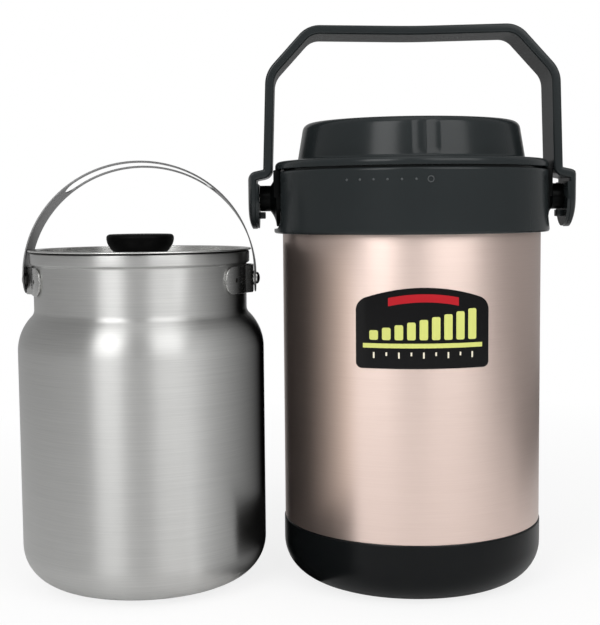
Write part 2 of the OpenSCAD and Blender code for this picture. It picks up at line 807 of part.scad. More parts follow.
// Rivet that holds the bail on its bracket: flat head inside, rounded head outside
module rivet() color("silver") {
    inner_head_r = 3.5;
    inner_head_h = 1.4;
    start = bridge_x - bracket_t - seat_gap;
    head_x = eye_x + bail_t + eye_gap;
    head_edge = 0.6;
    edge_share = 0.8;
    about_x(bail_z) turned([
        [0, start - inner_head_h],
        [inner_head_r, start - inner_head_h],
        [inner_head_r, start],
        [rivet_r, start],
        [rivet_r, head_x],
        [rivet_head_r, head_x],
        [rivet_head_r, head_x + rivet_head_h/2],
        [rivet_head_r - head_edge, head_x + rivet_head_h*edge_share],
        [rivet_head_r/2, head_x + rivet_head_h],
        [0, head_x + rivet_head_h]
    ]);
}
module left_rivet() at_pot() on_left() rivet();
module right_rivet() at_pot() rivet();

// Spacing washers between the brackets and the bail
module bail_washers() color("gray") at_pot() for (side = [0, 1]) mirror([side, 0, 0])
    about_x(bail_z) translate([0, 0, bridge_x + eye_gap]) difference() {
        cylinder(r = washer_r, h = washer_t);
        translate([0, 0, -cut_over]) cylinder(r = rivet_r + pin_gap, h = washer_t + 2*cut_over);
    }

// Points along the bail's arch above its legs, from angle a0 to a1
function arch(half_w, h, a0, a1, steps = 48) = [for (i = [0:steps]) let (a = a0 + (a1 - a0)*i/steps)
    [half_w*cos(a), bail_leg + h*sin(a)]];

// Steel strip bail, a slightly flattened half round with a long slot in its crown, leaning back as it stands
module pot_bail() color("silver") {
    end_r = bail_w/2;
    reach = 2*bail_out_r;
    at_pot() translate([0, 0, bail_z]) rotate([-bail_lean, 0, 0]) difference() {
        intersection() {
            rotate([90, 0, 0]) translate([0, 0, -end_r]) linear_extrude(bail_w) polygon(concat(
                [[bail_out_r, -end_r]],
                arch(bail_out_r, arch_out_h, 0, 180),
                [[-bail_out_r, -end_r], [-bail_in_r, -end_r]],
                arch(bail_in_r, arch_in_h, 180, 0),
                [[bail_in_r, -end_r]]
            ));
            translate([-reach, 0, 0]) rotate([90, 0, 90]) linear_extrude(2*reach)
                polygon(concat(arc([0, eye_rise], end_r, 180, 360, 16), [[end_r, reach], [-end_r, reach]]));
        }
        crown_slot(reach);
        translate([-reach, 0, 0]) rotate([0, 90, 0]) cylinder(r = rivet_r + pin_gap, h = 2*reach);
    }
}

// Tool for the crown slot: a long hole with round ends, seen from above
module crown_slot(reach) {
    round_r = slot_w/2;
    end_x = bail_in_r*sin(slot_angle/2) - round_r;
    translate([0, 0, bail_leg]) linear_extrude(reach) polygon(concat(
        arc([end_x, 0], round_r, -90, 90, 10),
        arc([-end_x, 0], round_r, 90, 270, 10)
    ));
}

// Dished steel lid: it rests on the inner part of the pot's rim, and its edge is lifted clear of the band
module pot_lid_pan() color("silver") {
    hole_r = knob_screw_r + 2*pin_gap;
    wall_top_r = pan_wall_r - pan_t;
    corner = [wall_top_r - pan_round, pan_z + pan_t + pan_round];
    edge_round = edge_t/2;
    at_pot() turned(concat(
        [[hole_r, pan_z], [hole_r, pan_z + pan_t]],
        arc(corner, pan_round, -90, 0, 5),
        [[wall_top_r, edge_top_z - edge_round], [wall_top_r + edge_round, edge_top_z]],
        arc([pot_lid_r - edge_round, edge_top_z - edge_round], edge_round, 90, -90, 6),
        [[neck_r + rest_w + edge_lift, pot_h + edge_lift], [neck_r + rest_w, pot_h], [pan_wall_r, pot_h]],
        arc(corner, pan_round + pan_t, 0, -90, 5)
    ));
}

// Black knob: a bowl on a short foot, under a flat round top
module pot_lid_knob() color([0.08, 0.08, 0.09]) {
    foot_z = pan_z + pan_t;
    foot_share = 0.12;
    bowl_z = knob_top_z - knob_round;
    bowl_depth = (bowl_z - foot_z)*(1 - foot_share)/sin(bowl_angle);
    bowl_steps = 10;
    hole_h = 9;
    at_pot() turned(concat(
        [[knob_screw_r + press_gap, foot_z], [knob_r*cos(bowl_angle), foot_z]],
        [for (i = [0:bowl_steps]) let (a = bowl_angle*(1 - i/bowl_steps))
            [knob_r*cos(a), bowl_z - bowl_depth*sin(a)]],
        arc([knob_r - knob_round, bowl_z], knob_round, 0, 90, 5),
        [[0, knob_top_z], [0, foot_z + hole_h], [knob_screw_r + press_gap, foot_z + hole_h]]
    ));
}

// Screw that holds the knob from below
module knob_screw() color("silver") {
    head_r = 4.5;
    head_h = 2.2;
    shank_h = 8;
    head_z = pan_z - knob_washer_t - head_h;
    at_pot() {
        translate([0, 0, head_z]) cylinder(r = head_r, h = head_h);
        translate([0, 0, head_z]) cylinder(r = knob_screw_r, h = head_h + knob_washer_t + pan_t + shank_h);
    }
}

// Washer under the pot lid
module knob_washer() color("gray") at_pot() translate([0, 0, pan_z - knob_washer_t]) difference() {
    cylinder(r = washer_out_r, h = knob_washer_t);
    translate([0, 0, -cut_over]) cylinder(r = knob_screw_r + pin_gap, h = knob_washer_t + 2*cut_over);
}

outer_shell();
inner_liner();
vessel_bottom();
vacuum_getter();
vacuum_seal();
base_cup();
collar();
mouth_seal();
left_hub();
right_hub();
left_pivot_pin();
right_pivot_pin();
label_plate();
lid_gasket();
lid_cover();
lid_insulation();
lid_liner();
carry_handle();
pot_shell();
pot_heat_disc();
left_bracket();
right_bracket();
left_rivet();
right_rivet();
bail_washers();
pot_bail();
pot_lid_pan();
pot_lid_knob();
knob_screw();
knob_washer();
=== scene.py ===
from math import acos, asin, atan2, ceil, copysign, cos, degrees, hypot, pi, radians, sin, sqrt, tan

import bmesh
import bpy
from mathutils import Matrix, Vector


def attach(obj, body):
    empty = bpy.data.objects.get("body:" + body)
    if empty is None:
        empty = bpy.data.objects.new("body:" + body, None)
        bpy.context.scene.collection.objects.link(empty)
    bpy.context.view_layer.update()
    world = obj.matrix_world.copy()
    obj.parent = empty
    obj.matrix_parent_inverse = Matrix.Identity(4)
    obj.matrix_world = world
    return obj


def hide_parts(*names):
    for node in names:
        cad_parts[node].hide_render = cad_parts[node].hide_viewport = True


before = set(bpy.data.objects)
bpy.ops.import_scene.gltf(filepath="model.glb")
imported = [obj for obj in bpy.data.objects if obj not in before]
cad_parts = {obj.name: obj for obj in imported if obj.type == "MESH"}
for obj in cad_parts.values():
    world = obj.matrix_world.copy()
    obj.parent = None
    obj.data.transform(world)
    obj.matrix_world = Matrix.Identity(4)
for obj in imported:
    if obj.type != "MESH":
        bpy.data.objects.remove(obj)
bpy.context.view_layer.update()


# The vessel's outer shell, a drawn stainless tube with champagne lacquer baked on it.
# It steps in at its foot to take the base cup and at its neck to take the collar.
MM = 0.001
BODY_R = 80.0
SHELL_WALL = 0.6
SHELL_FOOT_R = 78.0
SHELL_NECK_R = 78.2
LINER_OUT_R = 77.0
BASE_H = 37.0
SHELL_FOOT_Z = 28.0
COLLAR_Z = 215.4
LIP_Z = 231.5
BASE_GAP = 0.3
NECK_LAP = 2.0
# Shared by all pieces: edges that are only broken, and how near points must lie to be joined
SOFT_EDGE = 0.5
FINE_EDGE = 0.4
JOIN = 0.002
SPECK = 0.001


def linear(code):
    """An sRGB hex colour as linear RGBA."""
    values = [int(code[i:i + 2], 16)/255 for i in (1, 3, 5)]
    return [v/12.92 if v <= 0.04045 else ((v + 0.055)/1.055)**2.4 for v in values] + [1.0]


def add_node(tree, kind, settings=None, links=None):
    """Adds a shader node, sets its properties or unlinked sockets, and links the others."""
    node = tree.nodes.new("ShaderNode" + kind)
    for name, value in (settings or {}).items():
        if isinstance(name, str) and hasattr(node, name):
            setattr(node, name, value)
        else:
            node.inputs[name].default_value = value
    for name, source in (links or {}).items():
        tree.links.new(source, node.inputs[name])
    return node


def new_material(name, **sockets):
    """A material with the steady values of its surface set on the shader's own sockets."""
    material = bpy.data.materials.new(name)
    material.use_nodes = True
    surface = material.node_tree.nodes["Principled BSDF"]
    for socket, value in sockets.items():
        surface.inputs[socket.replace("_", " ")].default_value = value
    return material, material.node_tree, surface


def drawn_lines(tree, length_mm, line_mm, detail, roughness):
    """A pattern of fine level lines round a piece."""
    place = add_node(tree, "TexCoord")
    scale = (1/(length_mm*MM), 1/(length_mm*MM), 1/(line_mm*MM))
    lines = add_node(tree, "Mapping", {"Scale": scale}, {"Vector": place.outputs["Object"]})
    noise = add_node(tree, "TexNoise", {"Scale": 1.0, "Detail": detail, "Roughness": roughness},
                     {"Vector": lines.outputs["Vector"]})
    return noise.outputs["Fac"]


def soft_specks(tree, grain_mm, detail):
    """A pattern of soft specks, each about as large as the grain."""
    place = add_node(tree, "TexCoord")
    noise = add_node(tree, "TexNoise", {"Scale": 1/(grain_mm*MM), "Detail": detail},
                     {"Vector": place.outputs["Object"]})
    return noise.outputs["Fac"]


def two_tones(tree, surface, dark, light, pattern):
    """Mixes a surface's colour from two tones by a pattern."""
    tone = add_node(tree, "Mix", {"data_type": "RGBA", 6: linear(dark), 7: linear(light)},
                    {"Factor": pattern})
    tree.links.new(tone.outputs[2], surface.inputs["Base Color"])


def two_glosses(tree, surface, low, high, pattern):
    """Varies a surface's roughness between two values by a pattern."""
    gloss = add_node(tree, "MapRange", {"To Min": low, "To Max": high}, {"Value": pattern})
    tree.links.new(gloss.outputs["Result"], surface.inputs["Roughness"])


def fine_relief(tree, surface, strength, depth_mm, pattern):
    """Raises and lowers a surface a little by a pattern."""
    relief = add_node(tree, "Bump", {"Strength": strength, "Distance": depth_mm*MM},
                      {"Height": pattern})
    tree.links.new(relief.outputs["Normal"], surface.inputs["Normal"])


def brushed_round(tree, surface):
    """Lays a surface's grain round its upright axis."""
    round_axis = add_node(tree, "Tangent", {"direction_type": "RADIAL", "axis": "Z"})
    tree.links.new(round_axis.outputs["Tangent"], surface.inputs["Tangent"])


def rounded(corners, closed=True, steps=5):
    """Corners of (x, z, radius) in mm as a line of points, with each corner rounded off."""
    points = []
    count = len(corners)
    for i, (x, z, radius) in enumerate(corners):
        here = Vector((x, z))
        at_end = not closed and i in (0, count - 1)
        if radius == 0 or at_end:
            points.append(here)
            continue
        back = (Vector(corners[i - 1][:2]) - here).normalized()
        ahead = (Vector(corners[(i + 1) % count][:2]) - here).normalized()
        half = back.angle(ahead)/2
        centre = here + (back + ahead).normalized()*radius/sin(half)
        start = (here + back*radius/tan(half) - centre).normalized()
        end = (here + ahead*radius/tan(half) - centre).normalized()
        for k in range(steps + 1):
            points.append(centre + start.slerp(end, k/steps)*radius)
    return points


def finish_mesh(name, shape, sharp_deg=38):
    """A mesh from a bmesh in mm: joined, facing outwards, smooth apart from its sharp edges."""
    bmesh.ops.scale(shape, vec=(MM, MM, MM), verts=shape.verts)
    bmesh.ops.remove_doubles(shape, verts=shape.verts, dist=JOIN*MM)
    bmesh.ops.dissolve_degenerate(shape, edges=shape.edges, dist=SPECK*MM)
    bmesh.ops.recalc_face_normals(shape, faces=shape.faces)
    mesh = bpy.data.meshes.new(name)
    shape.to_mesh(mesh)
    shape.free()
    mesh.shade_smooth()
    mesh.set_sharp_from_angle(angle=radians(sharp_deg))
    return mesh


def add_turned(shape, outline, steps, bend=None):
    """Adds a closed outline of (r, z) turned round an upright axis; bend moves single points."""
    rings = []
    for i in range(steps):
        angle = 2*pi*i/steps
        ring = []
        for r, z in outline:
            point = Vector((r*cos(angle), r*sin(angle), z))
            ring.append(shape.verts.new(bend(point) if bend else point))
        rings.append(ring)
    for i in range(steps):
        here, there = rings[i], rings[(i + 1) % steps]
        for k in range(len(outline)):
            n = (k + 1) % len(outline)
            shape.faces.new((here[k], there[k], there[n], here[n]))


def add_object(name, data):
    """Makes an object and puts it in the scene."""
    item = bpy.data.objects.new(name, data)
    bpy.context.scene.collection.objects.link(item)
    return item


def fit_piece(mesh, materials, body, cad_node):
    """Puts a finished mesh in place of its CAD node, on that node's body."""
    piece = add_object(mesh.name, mesh)
    for material in materials:
        mesh.materials.append(material)
    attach(piece, body)
    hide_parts(cad_node)
    return piece


# Champagne lacquer on brushed steel: a warm metal sheen that fades softly towards the sides,
# with hair lines round the tube so fine that they are drawn at 0.5 mm to show at all.
CHAMPAGNE = "#e3d0c7"
CHAMPAGNE_DEEP = "#d8c3ba"
HAIR_LINE = 0.5
HAIR_LENGTH = 30.0
champagne, tree, surface = new_material("champagne_lacquer_on_steel", Metallic=0.95, Coat_Weight=0.1,
                                        Coat_Roughness=0.25, Anisotropic=0.6, Anisotropic_Rotation=0.25)
hair = drawn_lines(tree, HAIR_LENGTH, HAIR_LINE, detail=3.0, roughness=0.6)
two_tones(tree, surface, CHAMPAGNE_DEEP, CHAMPAGNE, hair)
two_glosses(tree, surface, low=0.4, high=0.48, pattern=hair)
fine_relief(tree, surface, strength=0.05, depth_mm=0.02, pattern=hair)
brushed_round(tree, surface)

shell_foot_top = BASE_H + BASE_GAP
shell_neck_z = COLLAR_Z + NECK_LAP
shape = bmesh.new()
add_turned(shape, rounded([
    (SHELL_FOOT_R, SHELL_FOOT_Z, 0),
    (SHELL_FOOT_R, shell_foot_top, 0),
    (BODY_R, shell_foot_top, SOFT_EDGE),
    (BODY_R, shell_neck_z, SOFT_EDGE),
    (SHELL_NECK_R, shell_neck_z, 0),
    (SHELL_NECK_R, LIP_Z, FINE_EDGE),
    (LINER_OUT_R, LIP_Z, 0),
    (LINER_OUT_R, LIP_Z - SHELL_WALL, 0),
    (SHELL_NECK_R - SHELL_WALL, LIP_Z - SHELL_WALL, 0),
    (SHELL_NECK_R - SHELL_WALL, shell_neck_z - SHELL_WALL, 0),
    (BODY_R - SHELL_WALL, shell_neck_z - SHELL_WALL, 0),
    (BODY_R - SHELL_WALL, shell_foot_top + SHELL_WALL, 0),
    (SHELL_FOOT_R - SHELL_WALL, shell_foot_top + SHELL_WALL, 0),
    (SHELL_FOOT_R - SHELL_WALL, SHELL_FOOT_Z, 0),
]), steps=256)
body = fit_piece(finish_mesh("body_shell", shape), [champagne], "cooker", "outer_shell")
# In reflections graded cards take the body's place.
body.visible_glossy = False


# The inside of the vacuum vessel: the drawn liner, the pressed bottom, the getter cup and the seal.
# All are stainless steel welded at the lip and the foot, apart from the bead of solder.
STEEL = "#c9c9c7"
STEEL_DARK = "#a9a9a8"
BRUSH_LINE = 0.45
BRUSH_LENGTH = 45.0


def brushed_steel(name, roughness, anisotropy=0.0, line_mm=BRUSH_LINE, length_mm=BRUSH_LENGTH,
                  contrast=0.05, light=STEEL, dark=STEEL_DARK):
    """Stainless brushed round its upright axis: highlights drawn out along it, and fine rings."""
    material, tree, surface = new_material(name, Metallic=1.0, Anisotropic=anisotropy,
                                           Anisotropic_Rotation=0.25)
    brush = drawn_lines(tree, length_mm, line_mm, detail=4.0, roughness=0.65)
    two_tones(tree, surface, dark, light, brush)
    two_glosses(tree, surface, roughness - contrast, roughness + contrast, brush)
    fine_relief(tree, surface, strength=0.12, depth_mm=0.03, pattern=brush)
    brushed_round(tree, surface)
    return material


def dress(material, *cad_nodes):
    """Gives CAD nodes that stay in view their material."""
    for name in cad_nodes:
        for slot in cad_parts[name].material_slots:
            slot.material = material


liner_steel = brushed_steel("brushed_stainless_liner", roughness=0.3, anisotropy=0.5, contrast=0.06)
dress(liner_steel, "inner_liner", "vessel_bottom", "vacuum_getter")

# Solder that has run and set: a dull grey metal with a mottled skin.
SOLDER_GRAIN = 1.5
solder, tree, surface = new_material("run_solder", Metallic=1.0)
mottle = soft_specks(tree, SOLDER_GRAIN, detail=3.0)
two_tones(tree, surface, "#8a8a8c", "#a8a8a9", mottle)
two_glosses(tree, surface, low=0.4, high=0.6, pattern=mottle)
dress(solder, "vacuum_seal")


# The base cup, a moulded black polypropylene cup pushed on over the vessel's foot.
# Its bottom corner is one large round, and its top edge is narrowly rounded.
BASE_R = 80.5
BASE_CORNER = 23.0
BASE_WALL = 2.35
BASE_EDGE = 0.7
CLOUD = 60.0
CLOUD_GLOSS = 0.05


def moulded_plastic(name, colour, shade, roughness, grain_mm=0.5, relief=0.1, shine=0.5):
    """A moulded plastic with a fine tool texture: slight changes of tone, gloss and height."""
    material, tree, surface = new_material(name, Specular_IOR_Level=shine)
    cloud = soft_specks(tree, CLOUD, detail=2.0)
    grain = soft_specks(tree, grain_mm, detail=2.0)
    two_tones(tree, surface, shade, colour, cloud)
    two_glosses(tree, surface, roughness - CLOUD_GLOSS, roughness + CLOUD_GLOSS, cloud)
    fine_relief(tree, surface, relief, depth_mm=0.04, pattern=grain)
    return material


# Black polypropylene with a spark-eroded skin: a broad, dull highlight.
black_plastic = moulded_plastic(
    "black_polypropylene_satin", "#101213", "#0b0d0e", roughness=0.3, shine=0.12)
shape = bmesh.new()
add_turned(shape, rounded([
    (0, 0, 0),
    (BASE_R, 0, BASE_CORNER),
    (BASE_R, BASE_H, BASE_EDGE),
    (BASE_R - BASE_WALL, BASE_H, FINE_EDGE),
    (BASE_R - BASE_WALL, BASE_WALL, BASE_CORNER - BASE_WALL),
    (0, BASE_WALL, 0),
], steps=14), steps=256)
fit_piece(finish_mesh("base_cup_moulding", shape), [black_plastic], "cooker", "base_cup")


# The collar, a moulded charcoal ABS ring pressed over the vessel's mouth.
# It has a flat recess on each side for the pivot hubs, and inside it the ledges that lock the lid.
COLLAR_TOP_Z = 253.2
COLLAR_R = 85.3
COLLAR_TOP_R = 84.6
COLLAR_ROUND = 1.4
FLAT_X = 80.8
FLAT_HALF_W = 29.0
FLAT_Z = 218.5
FLAT_CORNER = 14.0
RECESS_FOOT = 0.5
RECESS_EDGE = 0.8
WALL_LOW = 2.6
WALL_HIGH = 2.0
PRESS_GAP = 0.15
STEP_H = 2.3
CHAMBER_R = 79.4
MOUTH_Z = 235.2
MOUTH_T = 2.9
LINER_R = 76.5
LEDGE_R = 77.6
LEDGE_Z = 244.2
LEDGE_TOP_Z = 248.0
LEDGE_ROOT = 0.5
STOP_INSET = 0.3
STOP_ROOT = 0.6
STOP_LAP = 0.5
LUG_Z = 240.3
LUG_COUNT = 3
LUG_ANGLE = 16.0
LUG_PLAY = 5.0
LID_TURN = 33.0
MARK_Z = 246.3
MARK_PROUD = 0.4
DOT_COUNT = 6
DOT_STEP = 5.45
DOT_D = 1.7
RING_D = 3.9
RING_W = 0.6
RING_EDGE = 0.25
FRONT_TURN = 2.4

# Charcoal ABS from a polished mould: deep grey with clear reflections and a faint ripple.
charcoal = moulded_plastic(
    "charcoal_abs_gloss", "#242829", "#1f2324", roughness=0.22, grain_mm=6.0, relief=0.05, shine=0.2)


def side_recess(point):
    """Draws points of the collar's outside in to the flat, with a soft edge round the recess."""
    if abs(point.x) <= FLAT_X or point.z < COLLAR_Z + RECESS_FOOT:
        return point
    across = max(abs(point.y) - (FLAT_HALF_W - FLAT_CORNER), 0)
    down = max((FLAT_Z + FLAT_CORNER) - point.z, 0)
    edge = FLAT_CORNER - hypot(across, down) if down else FLAT_HALF_W - abs(point.y)
    share = min(max(edge/RECESS_EDGE + 0.5, 0), 1)
    share = share*share*(3 - 2*share)
    flat = copysign(FLAT_X, point.x)
    return Vector((point.x + (flat - point.x)*share, point.y, point.z))


def stepped(low, high, count):
    """Evenly spaced values from low to high."""
    return [low + (high - low)*i/count for i in range(count + 1)]


def add_block(shape, r0, r1, z0, z1, start_deg, sweep_deg, steps):
    """Adds a block that follows the collar's curve."""
    corners = [(r0, z0), (r1, z0), (r1, z1), (r0, z1)]
    rings = []
    for i in range(steps + 1):
        angle = radians(start_deg + sweep_deg*i/steps)
        rings.append([shape.verts.new((r*cos(angle), r*sin(angle), z)) for r, z in corners])
    for here, there in zip(rings, rings[1:]):
        for k in range(4):
            shape.faces.new((here[k], there[k], there[(k + 1) % 4], here[(k + 1) % 4]))
    shape.faces.new(rings[0])
    shape.faces.new(rings[-1])


def collar_radius(z):
    """Radius of the collar's drafted outside at a height."""
    return COLLAR_R + (COLLAR_TOP_R - COLLAR_R)*(z - COLLAR_Z)/(COLLAR_TOP_Z - COLLAR_Z)


def turned(angle_deg, axis):
    """A turn about an axis, as a matrix."""
    return Matrix.Rotation(radians(angle_deg), 4, axis)


def add_detail(shape, outline, steps, stand, slot):
    """Adds a small turned detail at its stand, in a material slot of its own."""
    detail = bmesh.new()
    add_turned(detail, outline, steps)
    bmesh.ops.transform(detail, matrix=stand, verts=detail.verts)
    for face in detail.faces:
        face.material_index = slot
    mesh = bpy.data.meshes.new("turned_detail")
    detail.to_mesh(mesh)
    detail.free()
    shape.from_mesh(mesh)


wall = [(collar_radius(z), z) for z in stepped(COLLAR_Z + WALL_LOW, COLLAR_TOP_Z - WALL_HIGH, 40)]
foot = rounded([
    (BODY_R + PRESS_GAP, COLLAR_Z, 0),
    (COLLAR_R, COLLAR_Z, COLLAR_ROUND),
    wall[0] + (0,),
], closed=False)
crown = rounded([
    wall[-1] + (0,),
    (COLLAR_TOP_R, COLLAR_TOP_Z, COLLAR_ROUND),
    (CHAMBER_R, COLLAR_TOP_Z, FINE_EDGE),
    (CHAMBER_R, MOUTH_Z, FINE_EDGE),
    (LINER_R, MOUTH_Z, FINE_EDGE),
    (LINER_R, MOUTH_Z - MOUTH_T, 0),
], closed=False)
outline = foot[:-1] + wall + crown[1:] + [
    (SHELL_NECK_R + PRESS_GAP, MOUTH_Z - MOUTH_T),
    (SHELL_NECK_R + PRESS_GAP, COLLAR_Z + STEP_H),
    (BODY_R + PRESS_GAP, COLLAR_Z + STEP_H),
]
shape = bmesh.new()
add_turned(shape, outline, steps=480, bend=side_recess)
pitch = 360/LUG_COUNT
slot_deg = LUG_ANGLE + 2*LUG_PLAY
for i in range(LUG_COUNT):
    lug_at = FRONT_TURN - 90 + i*pitch
    add_block(shape, LEDGE_R, CHAMBER_R + LEDGE_ROOT, LEDGE_Z, LEDGE_TOP_Z,
              lug_at + slot_deg/2, pitch - slot_deg, steps=48)
    stop_at = lug_at - (LID_TURN + LUG_ANGLE/2 + LUG_PLAY)
    add_block(shape, LEDGE_R + STOP_INSET, CHAMBER_R + STOP_ROOT, LUG_Z, LEDGE_Z + STOP_LAP,
              stop_at, LUG_PLAY/2, steps=4)
# The raised dots of the turning path, and the ring that marks the open place, in the second slot with a
# painted highlight
mark_r = collar_radius(MARK_Z)
for i in range(1, DOT_COUNT + 1):
    angle = radians(FRONT_TURN - 90 - i*DOT_STEP)
    at = mark_r - DOT_D/2 + MARK_PROUD
    spot = Matrix.Translation((at*cos(angle), at*sin(angle), MARK_Z))
    dot = bmesh.ops.create_uvsphere(shape, u_segments=20, v_segments=12, radius=DOT_D/2, matrix=spot)
    for vert in dot["verts"]:
        for face in vert.link_faces:
            face.material_index = 1
ring = rounded([
    (RING_D/2 - RING_W, -RING_W, 0),
    (RING_D/2, -RING_W, 0),
    (RING_D/2, MARK_PROUD, RING_EDGE),
    (RING_D/2 - RING_W, MARK_PROUD, RING_EDGE),
])
stand = turned(FRONT_TURN, "Z") @ Matrix.Translation((0, -mark_r, MARK_Z)) @ turned(90, "X")
add_detail(shape, ring, 48, stand, slot=1)
# The marks: the same plastic, painted lighter and duller, a painted highlight where the raised marks catch
# light.
marks_painted_highlight = moulded_plastic("charcoal_abs_painted_highlight", "#3e4243", "#363a3b", roughness=0.4, grain_mm=0.6)
collar_mesh = finish_mesh("collar_moulding", shape)
fit_piece(collar_mesh, [charcoal, marks_painted_highlight], "cooker", "collar")


# The seals: a flat silicone ring between the vessel's lip and the collar, and the lid's own seal.
# Both are grey silicone, moulded and pushed into place.
# Silicone rubber: a matt, even grey with a soft grain.
silicone = moulded_plastic("grey_silicone_matt", "#a3a3a0", "#949491", roughness=0.6, grain_mm=0.8)
dress(silicone, "mouth_seal", "lid_gasket")


# The pivot hubs: moulded black bosses on the collar's flats, each with a stub that carries an ear.
# A steel pin pressed into each stub is what the handle turns on.
HUB_R = 17.4
HUB_RIM_T = 3.0
HUB_EDGE = 0.6
HUB_FLARE = 3.6
FLARE_START = 0.1
STUB_R = 8.0
PIVOT_Z = 237.0
EAR_X = 95.7
EAR_PAD = 1.4
EAR_GAP = 0.3
BLOCK_TOP_Z = 254.1
BLOCK_EDGE = 0.8
PIN_R = 3.02


def add_box(shape, size, middle, edge, segments):
    """Adds a box with rounded edges."""
    box = bmesh.ops.create_cube(shape, size=1.0)["verts"]
    bmesh.ops.scale(shape, vec=size, verts=box)
    bmesh.ops.translate(shape, vec=middle, verts=box)
    edges = [e for e in shape.edges if e.verts[0] in box and e.verts[1] in box]
    bmesh.ops.bevel(shape, geom=edges, offset=edge, segments=segments, profile=0.5, affect="EDGES")


# Moulded acetal: deep black, with hardly any shine.
acetal = moulded_plastic("black_acetal_satin", "#070808", "#050606", roughness=0.3, shine=0.05)
hub_rim_x = FLAT_X + HUB_RIM_T
flare = [(HUB_R - (HUB_R - STUB_R)*t, hub_rim_x + HUB_FLARE*t*t) for t in stepped(FLARE_START, 1.0, 12)]
for side, name in ((-1, "left"), (1, "right")):
    shape = bmesh.new()
    rim = rounded([
        (PIN_R, FLAT_X, 0),
        (HUB_R, FLAT_X, 0),
        (HUB_R, hub_rim_x, HUB_EDGE),
        flare[0] + (0,),
    ], closed=False)
    stub_end = EAR_X - EAR_PAD - EAR_GAP
    stub = rounded([flare[-1] + (0,), (STUB_R, stub_end, SOFT_EDGE), (PIN_R, stub_end, 0)], closed=False)
    add_turned(shape, rim[:-1] + flare + stub[1:], steps=96)
    turn = Matrix.Translation((0, 0, PIVOT_Z)) @ turned(90, "Y")
    bmesh.ops.transform(shape, matrix=turn, verts=shape.verts)
    size = Vector((COLLAR_R - FLAT_X, 2*HUB_R, BLOCK_TOP_Z - PIVOT_Z))
    add_box(shape, size, (FLAT_X + size.x/2, 0, PIVOT_Z + size.z/2), BLOCK_EDGE, segments=3)
    bmesh.ops.scale(shape, vec=(side, 1, 1), verts=shape.verts)
    hub_mesh = finish_mesh(name + "_hub_moulding", shape)
    fit_piece(hub_mesh, [acetal], "cooker", name + "_hub")

# Ground steel pins: bright, with a trace of the grinding.
pin_steel = brushed_steel("ground_steel_pin", roughness=0.2, line_mm=0.3, length_mm=4.0, contrast=0.04)
dress(pin_steel, "left_pivot_pin", "right_pivot_pin")


# The label: a printed film stuck on the front of the body, black, with an arched top edge.
# Its print is a plain design: a red arc over a scale of rising bars, a stripe and a row of ticks.
LABEL_W = 79.0
LABEL_H = 46.0
LABEL_Z = 162.5
LABEL_ARCH = 7.6
TOP_CORNER = 8.0
FOOT_CORNER = 3.2
LABEL_T = 0.3
LABEL_GAP = 0.05
LABEL_R = BODY_R + LABEL_GAP
INK_T = 0.02
ARC_HALF = 20.0
ARC_IN = 3.6
ARC_W = 4.6
BAR_COUNT = 9
BAR_W = 4.8
BAR_PITCH = 7.0
BAR_LOW = -6.6
BAR_FIRST = 5.5
BAR_GROWTH = 1.5
BAR_ROUND = 1.0
STRIPE_HALF = 34.0
STRIPE_W = 2.6
STRIPE_Z = -9.9
TICK_W = 0.9
TICK_TOP = -13.6
TICK_LONG = 3.4
TICK_SHORT = 2.0


def printed(name, colour, shade, roughness):
    """A screen-printed ink or film: an even colour with the faint mottle of ink on film."""
    return moulded_plastic(name, colour, shade, roughness, grain_mm=0.9, relief=0.04, shine=0.15)


def on_body(x, z, lift):
    """Where a point of the label lies, drawn as it is seen from the front."""
    r = LABEL_R + lift
    return (x, -sqrt(r*r - x*x), LABEL_Z + z)


def add_panel(shape, strips, low, high, slot):
    """Adds a panel given as upright strips (x, bottom, top), so that it follows the body's curve."""
    for lift, flip in ((low, True), (high, False)):
        rows = [[shape.verts.new(on_body(x, z, lift)) for z in (bottom, top)] for x, bottom, top in strips]
        for a, b in zip(rows, rows[1:]):
            corners = (a[0], b[0], b[1], a[1])
            shape.faces.new(corners[::-1] if flip else corners).material_index = slot
    edge = [(x, bottom) for x, bottom, top in strips] + [(x, top) for x, bottom, top in reversed(strips)]
    lower = [shape.verts.new(on_body(x, z, low)) for x, z in edge]
    upper = [shape.verts.new(on_body(x, z, high)) for x, z in edge]
    for i in range(len(edge)):
        n = (i + 1) % len(edge)
        shape.faces.new((lower[i], lower[n], upper[n], upper[i])).material_index = slot


def bar_strips(middle, bottom, width, height, corner):
    """Strips of an upright bar with rounded corners."""
    strips = []
    for x in (width/2*sin(t) for t in stepped(-pi/2, pi/2, 16)):
        past = max(abs(x) - (width/2 - corner), 0)
        cut = corner - sqrt(max(corner*corner - past*past, 0))
        strips.append((middle + x, bottom + cut, bottom + height - cut))
    return strips


# Black film and screen inks: flat colours, the film glossier than the inks.
film = printed("black_label_film_gloss", "#0c0c0d", "#080809", 0.22)
red_ink = printed("red_screen_ink", "#b01a24", "#a01620", 0.4)
lime_ink = printed("lime_screen_ink", "#cfd37c", "#c2c76c", 0.4)
cream_ink = printed("cream_screen_ink", "#e9e2cf", "#ddd5c0", 0.4)
half_w = BODY_R*sin(LABEL_W/BODY_R/2)
arch_r = (half_w**2 + LABEL_ARCH**2)/(2*LABEL_ARCH)
arch_z = LABEL_H/2 - arch_r
turn_x = half_w - TOP_CORNER
turn_z = arch_z + sqrt((arch_r - TOP_CORNER)**2 - turn_x**2)
turn_end = turn_x*arch_r/(arch_r - TOP_CORNER)
strips = []
for x in (half_w*sin(t) for t in stepped(-pi/2, pi/2, 96)):
    past = max(abs(x) - (half_w - FOOT_CORNER), 0)
    bottom = FOOT_CORNER - LABEL_H/2 - sqrt(max(FOOT_CORNER**2 - past**2, 0))
    if abs(x) < turn_end:
        top = arch_z + sqrt(arch_r**2 - x*x)
    else:
        top = turn_z + sqrt(max(TOP_CORNER**2 - (abs(x) - turn_x)**2, 0))
    strips.append((x, bottom, top))
shape = bmesh.new()
